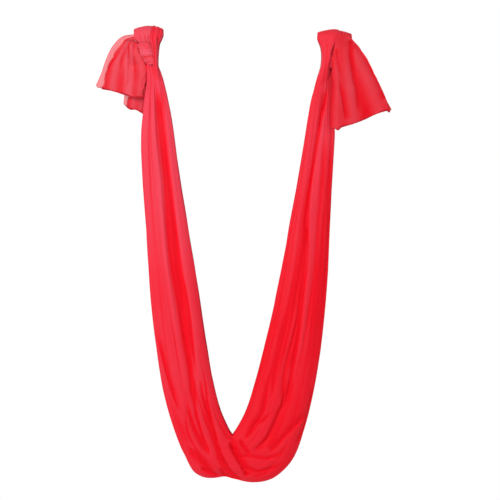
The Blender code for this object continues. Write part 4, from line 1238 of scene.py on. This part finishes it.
def makeTail(name, guides, look, creases):
    layers, rows = look["layers"], tails["rows"]
    front = look["front"]          # the share of the depth that faces the camera
    onLoop = look["rootOnLoop"]
    def place(along, across, depth):
        x, z = fanOut(guides, along, across)
        x0, z0 = x.copy(), z.copy()
        spread = eased(along / tails["spreadReach"])
        base = look["start"] + (look["end"] - look["start"]) * spread
        thick = look["rootThickness"] + (look["thickness"] - look["rootThickness"]) * spread
        y = base + look["away"] * depth * thick
        wave = np.zeros(x.shape)
        for count, amount, phase, lag in look["waves"]:
            drift = lag * depth + tails["waveDrift"] * along
            wave += amount * np.sin(2 * np.pi * (count * across + phase) + drift)
        y += wave * spread
        near = np.abs(depth - (1 - front))
        sunk = creaseField(x0, z0, creases) * near ** tails["creaseFade"]
        y += sunk
        rise = -wave * spread - sunk
        if not onLoop:  # beside the hitch the cloth comes forward
            lean = tails["besideLean"] * np.clip(wrapFoot - z0, 0, 1)
            beside = -x0 - wrapAt[1](np.clip(z0, wrapFoot, wrapTop)) - lean - tails["besideGap"]
            forward = look["forward"] * window(z0, *tails["forwardHeight"])
            y += forward * window(beside, *tails["forwardAside"])
        hemPhase = 2 * np.pi * look["hemWaves"] * across + tails["hemLag"] * depth
        z += tails["hemWave"] * along ** tails["hemPower"] * np.sin(hemPhase)
        for spot, reach, drop in look["curls"]:
            z -= drop * along ** tails["curlPower"] * np.exp(-(((across - spot) / reach) ** 2))
        y += look["layBack"] * eased((tails["layBackReach"] - across) / tails["layBackReach"]) * spread
        if onLoop:
            aside = (x0 - knots["eye"]) / (knots["widths"][1] / 2)
            top = knots["innerRadius"] + loopThickness(x0 * 0, np.clip(np.abs(aside), 0, 1))
            overLoop = np.sqrt(np.maximum(top**2 - np.clip(z0, 0, None) ** 2, tails["leastRound"] ** 2))
            lay = eased((z0 + tails["rootRise"]) / tails["rootRise"])
            surface = -(overLoop + look["rootGap"] + look["rootThickness"] * depth)
            y = y * (1 - lay) + surface * lay
        return np.stack([x, y, z], -1), rise
    insets = []
    for k in range(layers + 1):
        wander = 0.5 + 0.5 * slowWander(look["seed"] + k, rows, tails["edgeWaves"])
        room = look["innerRoom"] if (look["firstSide"] + k) % 2 == 0 else look["outerRoom"]
        if k == 0:
            room = tails["firstRoom"]
        insets.append(room[0] + room[1] * wander)
    hidden, shown, last = tails["columns"]
    samples = [hidden] * layers
    samples[0 if front == 0 else -1] = shown
    samples[-1 if front == 0 else 0] = last
    # the left tail is paler than the right, with stronger painted fold shade and highlight: painted light
    # from the key lamp at the left
    tone = dyeAndPaintedLight["rightTailTone"] if onLoop else dyeAndPaintedLight["leftTailTone"]
    boost = dyeAndPaintedLight["rightTailBoost"] if onLoop else dyeAndPaintedLight["leftTailBoost"]
    return layUp(name, place, samples, insets, look["breadth"], look["length"], tailCloth,
                 look["firstSide"], tone, boost)


def hangFromLoop(piece):  # bakes the piece's placement into its mesh
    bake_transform(piece)


# Waves: count across, height, phase, lag through the depth. Curls: place across, reach and drop at the hem.
# Rooms: least inset of the folded edges at that side, and how much it varies.
tailLooks = {
    "leftFlap": {
        "layers": 14, "firstSide": 1, "seed": 410, "flatWidth": 1.7, "length": 0.27, "breadth": 0.13,
        "front": 0, "away": 1, "start": 0.0445, "end": 0.036, "thickness": 0.011,
        "rootOnLoop": False, "rootThickness": 0.004, "forward": -0.054, "layBack": 0.0,
        "waves": ((1.5, 0.0035, 0.1, 0.6), (3.5, 0.0020, 0.4, 1.4)), "hemWaves": 3.0,
        "curls": ((0.93, 0.03, 0.005),),
        "innerRoom": (0.0, 0.010), "outerRoom": (0.022, 0.022),
    },
    "leftUnder": {
        "layers": 17, "firstSide": 1, "seed": 430, "flatWidth": 1.1, "length": 0.30, "breadth": 0.08,
        "front": 0, "away": 1, "start": 0.0500, "end": 0.060, "thickness": 0.012,
        "rootOnLoop": False, "rootThickness": 0.004, "forward": -0.036, "layBack": 0.0,
        "waves": ((1.2, 0.0030, 0.3, 0.5), (2.6, 0.0016, 0.2, 1.2)), "hemWaves": 2.0,
        "curls": (),
        "innerRoom": (0.0, 0.006), "outerRoom": (0.014, 0.012),
    },
    "rightFlap": {
        "layers": 9, "firstSide": 0, "seed": 450, "flatWidth": 1.9, "length": 0.38, "breadth": 0.16,
        "front": 1, "away": -1, "start": -0.0500, "end": -0.0660, "thickness": 0.011,
        "rootOnLoop": True, "rootThickness": 0.0035, "rootGap": 0.0062, "layBack": 0.010,
        "waves": ((1.3, 0.0040, 0.2, 0.5), (2.8, 0.0022, 0.1, 1.3)), "hemWaves": 3.0,
        "curls": ((0.96, 0.025, 0.010), (0.15, 0.045, 0.012), (0.0, 0.03, 0.009)),
        "innerRoom": (0.0, 0.010), "outerRoom": (0.000, 0.008),
    },
    "rightUnder": {
        "layers": 9, "firstSide": 0, "seed": 470, "flatWidth": 0.9, "length": 0.36, "breadth": 0.09,
        "front": 1, "away": -1, "start": -0.0465, "end": -0.0400, "thickness": 0.009,
        "rootOnLoop": True, "rootThickness": 0.002, "rootGap": 0.0016, "layBack": 0.0,
        "waves": ((1.2, 0.0025, 0.6, 0.5), (2.4, 0.0014, 0.3, 1.2)), "hemWaves": 2.0,
        "curls": (),
        "innerRoom": (0.0, 0.010), "outerRoom": (0.000, 0.010),
    },
}
for sideName, guidesPair, creases in (("left", (leftFlapGuides, leftUnderGuides), leftTailCreases),
                                      ("right", (rightFlapGuides, rightUnderGuides), rightTailCreases)):
    for partName, guides in zip(("flap", "under"), guidesPair):
        stem = sideName + partName.capitalize()
        look = tailLooks[stem]
        piece, points = makeTail(stem + "Cloth", guides, look, creases if partName == "flap" else [])
        hem = rollHem(stem + "Bead", points, hemCloth)
        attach(hem, sideName + "_tail")
        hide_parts(sideName + "_tail_" + partName + "_hem")
        if sideName == "left":  # the selvage of the front layer, which hangs free there
            sideFirst = np.swapaxes(points, 0, 1)[::-1]
            selvage = rollHem(stem + "Selvage", sideFirst, knotCloth, bead["selvageSize"])
            hangFromLoop(selvage)
        hangFromLoop(piece)
        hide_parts(sideName + "_tail_" + partName)
        area = sheetArea(points)
        print(piece.name, "cloth", round(area, 4), "of", round(look["flatWidth"] * look["length"], 4))
print("tails fanned")


# Camera, light and backdrop

view = {
    "middle": (0.0558, -0.8930),  # what the middle of the picture looks at, x and z
    "distance": 6.5,
    "field": 2.1,                 # metres of the hanging plane across the picture
    "roll": -1.3,                 # degrees
    "floorHeight": -2.78,
    "floorSize": 24,
    "floorPaint": (0.86, 0.86, 0.86),
    "floorPlain": 1.4,            # metres from the middle to where the floor starts to fade to white
    "floorWhite": 3.8,
    "skyColour": (0.94, 0.96, 1.0),
    "skyStrength": 0.45,
    "aimHeight": -0.9,            # height on the middle line that the lamps point at
}
lamps = (                         # name, place, size in metres, watts, colour
    ("keyLamp", (-3.0, -4.4, 1.3), 2.4, 206, (1.0, 0.98, 0.96)),
    ("fillLamp", (3.2, -3.0, -0.4), 2.6, 30, (1.0, 0.97, 0.97)),
    ("backLamp", (-1.0, 3.4, 1.0), 2.4, 85, (1.0, 1.0, 1.0)),
)


def setCamera():
    data = bpy.data.cameras.new("viewCamera")
    camera = bpy.data.objects.new("viewCamera", data)
    bpy.context.scene.collection.objects.link(camera)
    data.sensor_width = 36
    data.sensor_fit = "HORIZONTAL"
    data.lens = 36 * view["distance"] / view["field"]
    data.clip_end = 100
    camera.location = (view["middle"][0], -view["distance"], view["middle"][1])
    camera.rotation_euler = (math.radians(90), math.radians(view["roll"]), 0)
    bpy.context.scene.camera = camera


def whereSeen(tree):  # 1 for what the camera sees, also in gloss and through clear stuff
    path = tree.nodes.new("ShaderNodeLightPath")
    straight = tree.nodes.new("ShaderNodeMath")
    straight.operation = "MAXIMUM"
    either = tree.nodes.new("ShaderNodeMath")
    either.operation = "MAXIMUM"
    tree.links.new(path.outputs["Is Camera Ray"], straight.inputs[0])
    tree.links.new(path.outputs["Is Glossy Ray"], straight.inputs[1])
    tree.links.new(straight.outputs[0], either.inputs[0])
    tree.links.new(path.outputs["Is Transmission Ray"], either.inputs[1])
    return either


def fadingPaint(name, colour):  # pale paint under the object that fades to white for the camera further out
    material = bpy.data.materials.new(name)
    material.use_nodes = True
    tree = material.node_tree
    shader = tree.nodes["Principled BSDF"]
    shader.inputs["Base Color"].default_value = (*colour, 1)
    shader.inputs["Roughness"].default_value = 0.9
    white = addNode(tree, "ShaderNodeEmission", Color=(1, 1, 1, 1), Strength=1.0)
    place = tree.nodes.new("ShaderNodeTexCoord")
    far = tree.nodes.new("ShaderNodeVectorMath")
    far.operation = "LENGTH"
    fade = tree.nodes.new("ShaderNodeMapRange")
    fade.interpolation_type = "SMOOTHSTEP"
    fade.inputs["From Min"].default_value = view["floorPlain"]
    fade.inputs["From Max"].default_value = view["floorWhite"]
    seen = whereSeen(tree)
    both = tree.nodes.new("ShaderNodeMath")
    both.operation = "MULTIPLY"
    mix = tree.nodes.new("ShaderNodeMixShader")
    tree.links.new(place.outputs["Object"], far.inputs[0])
    tree.links.new(far.outputs["Value"], fade.inputs["Value"])
    tree.links.new(fade.outputs["Result"], both.inputs[0])
    tree.links.new(seen.outputs[0], both.inputs[1])
    tree.links.new(both.outputs[0], mix.inputs[0])
    tree.links.new(shader.outputs[0], mix.inputs[1])
    tree.links.new(white.outputs[0], mix.inputs[2])
    tree.links.new(mix.outputs[0], tree.nodes["Material Output"].inputs[0])
    return material


def makeStage():
    bpy.ops.mesh.primitive_plane_add(size=view["floorSize"], location=(0, 0, view["floorHeight"]))
    floor = bpy.context.object
    floor.name = "studioFloor"
    floor.data.materials.append(fadingPaint("studioPaint", view["floorPaint"]))
    world = bpy.data.worlds.new("studioSky")
    bpy.context.scene.world = world
    world.use_nodes = True
    tree = world.node_tree
    plain = tree.nodes["Background"]
    plain.inputs["Color"].default_value = (*view["skyColour"], 1)
    plain.inputs["Strength"].default_value = view["skyStrength"]
    white = tree.nodes.new("ShaderNodeBackground")
    white.inputs["Color"].default_value = (1, 1, 1, 1)
    white.inputs["Strength"].default_value = 1.0
    mix = tree.nodes.new("ShaderNodeMixShader")
    tree.links.new(whereSeen(tree).outputs[0], mix.inputs[0])
    tree.links.new(plain.outputs[0], mix.inputs[1])
    tree.links.new(white.outputs[0], mix.inputs[2])
    tree.links.new(mix.outputs[0], tree.nodes["World Output"].inputs[0])


def addLamp(name, place, size, power, colour):
    data = bpy.data.lights.new(name, "AREA")
    data.shape = "SQUARE"
    data.size = size
    data.energy = power
    data.color = colour
    lamp = bpy.data.objects.new(name, data)
    lamp.location = place
    aim = Vector((0, 0, view["aimHeight"])) - Vector(place)
    lamp.rotation_euler = aim.to_track_quat("-Z", "Y").to_euler()
    bpy.context.scene.collection.objects.link(lamp)


setCamera()
makeStage()
for lampLook in lamps:
    addLamp(*lampLook)
bpy.context.scene.view_settings.view_transform = "Standard"
print("stage set")
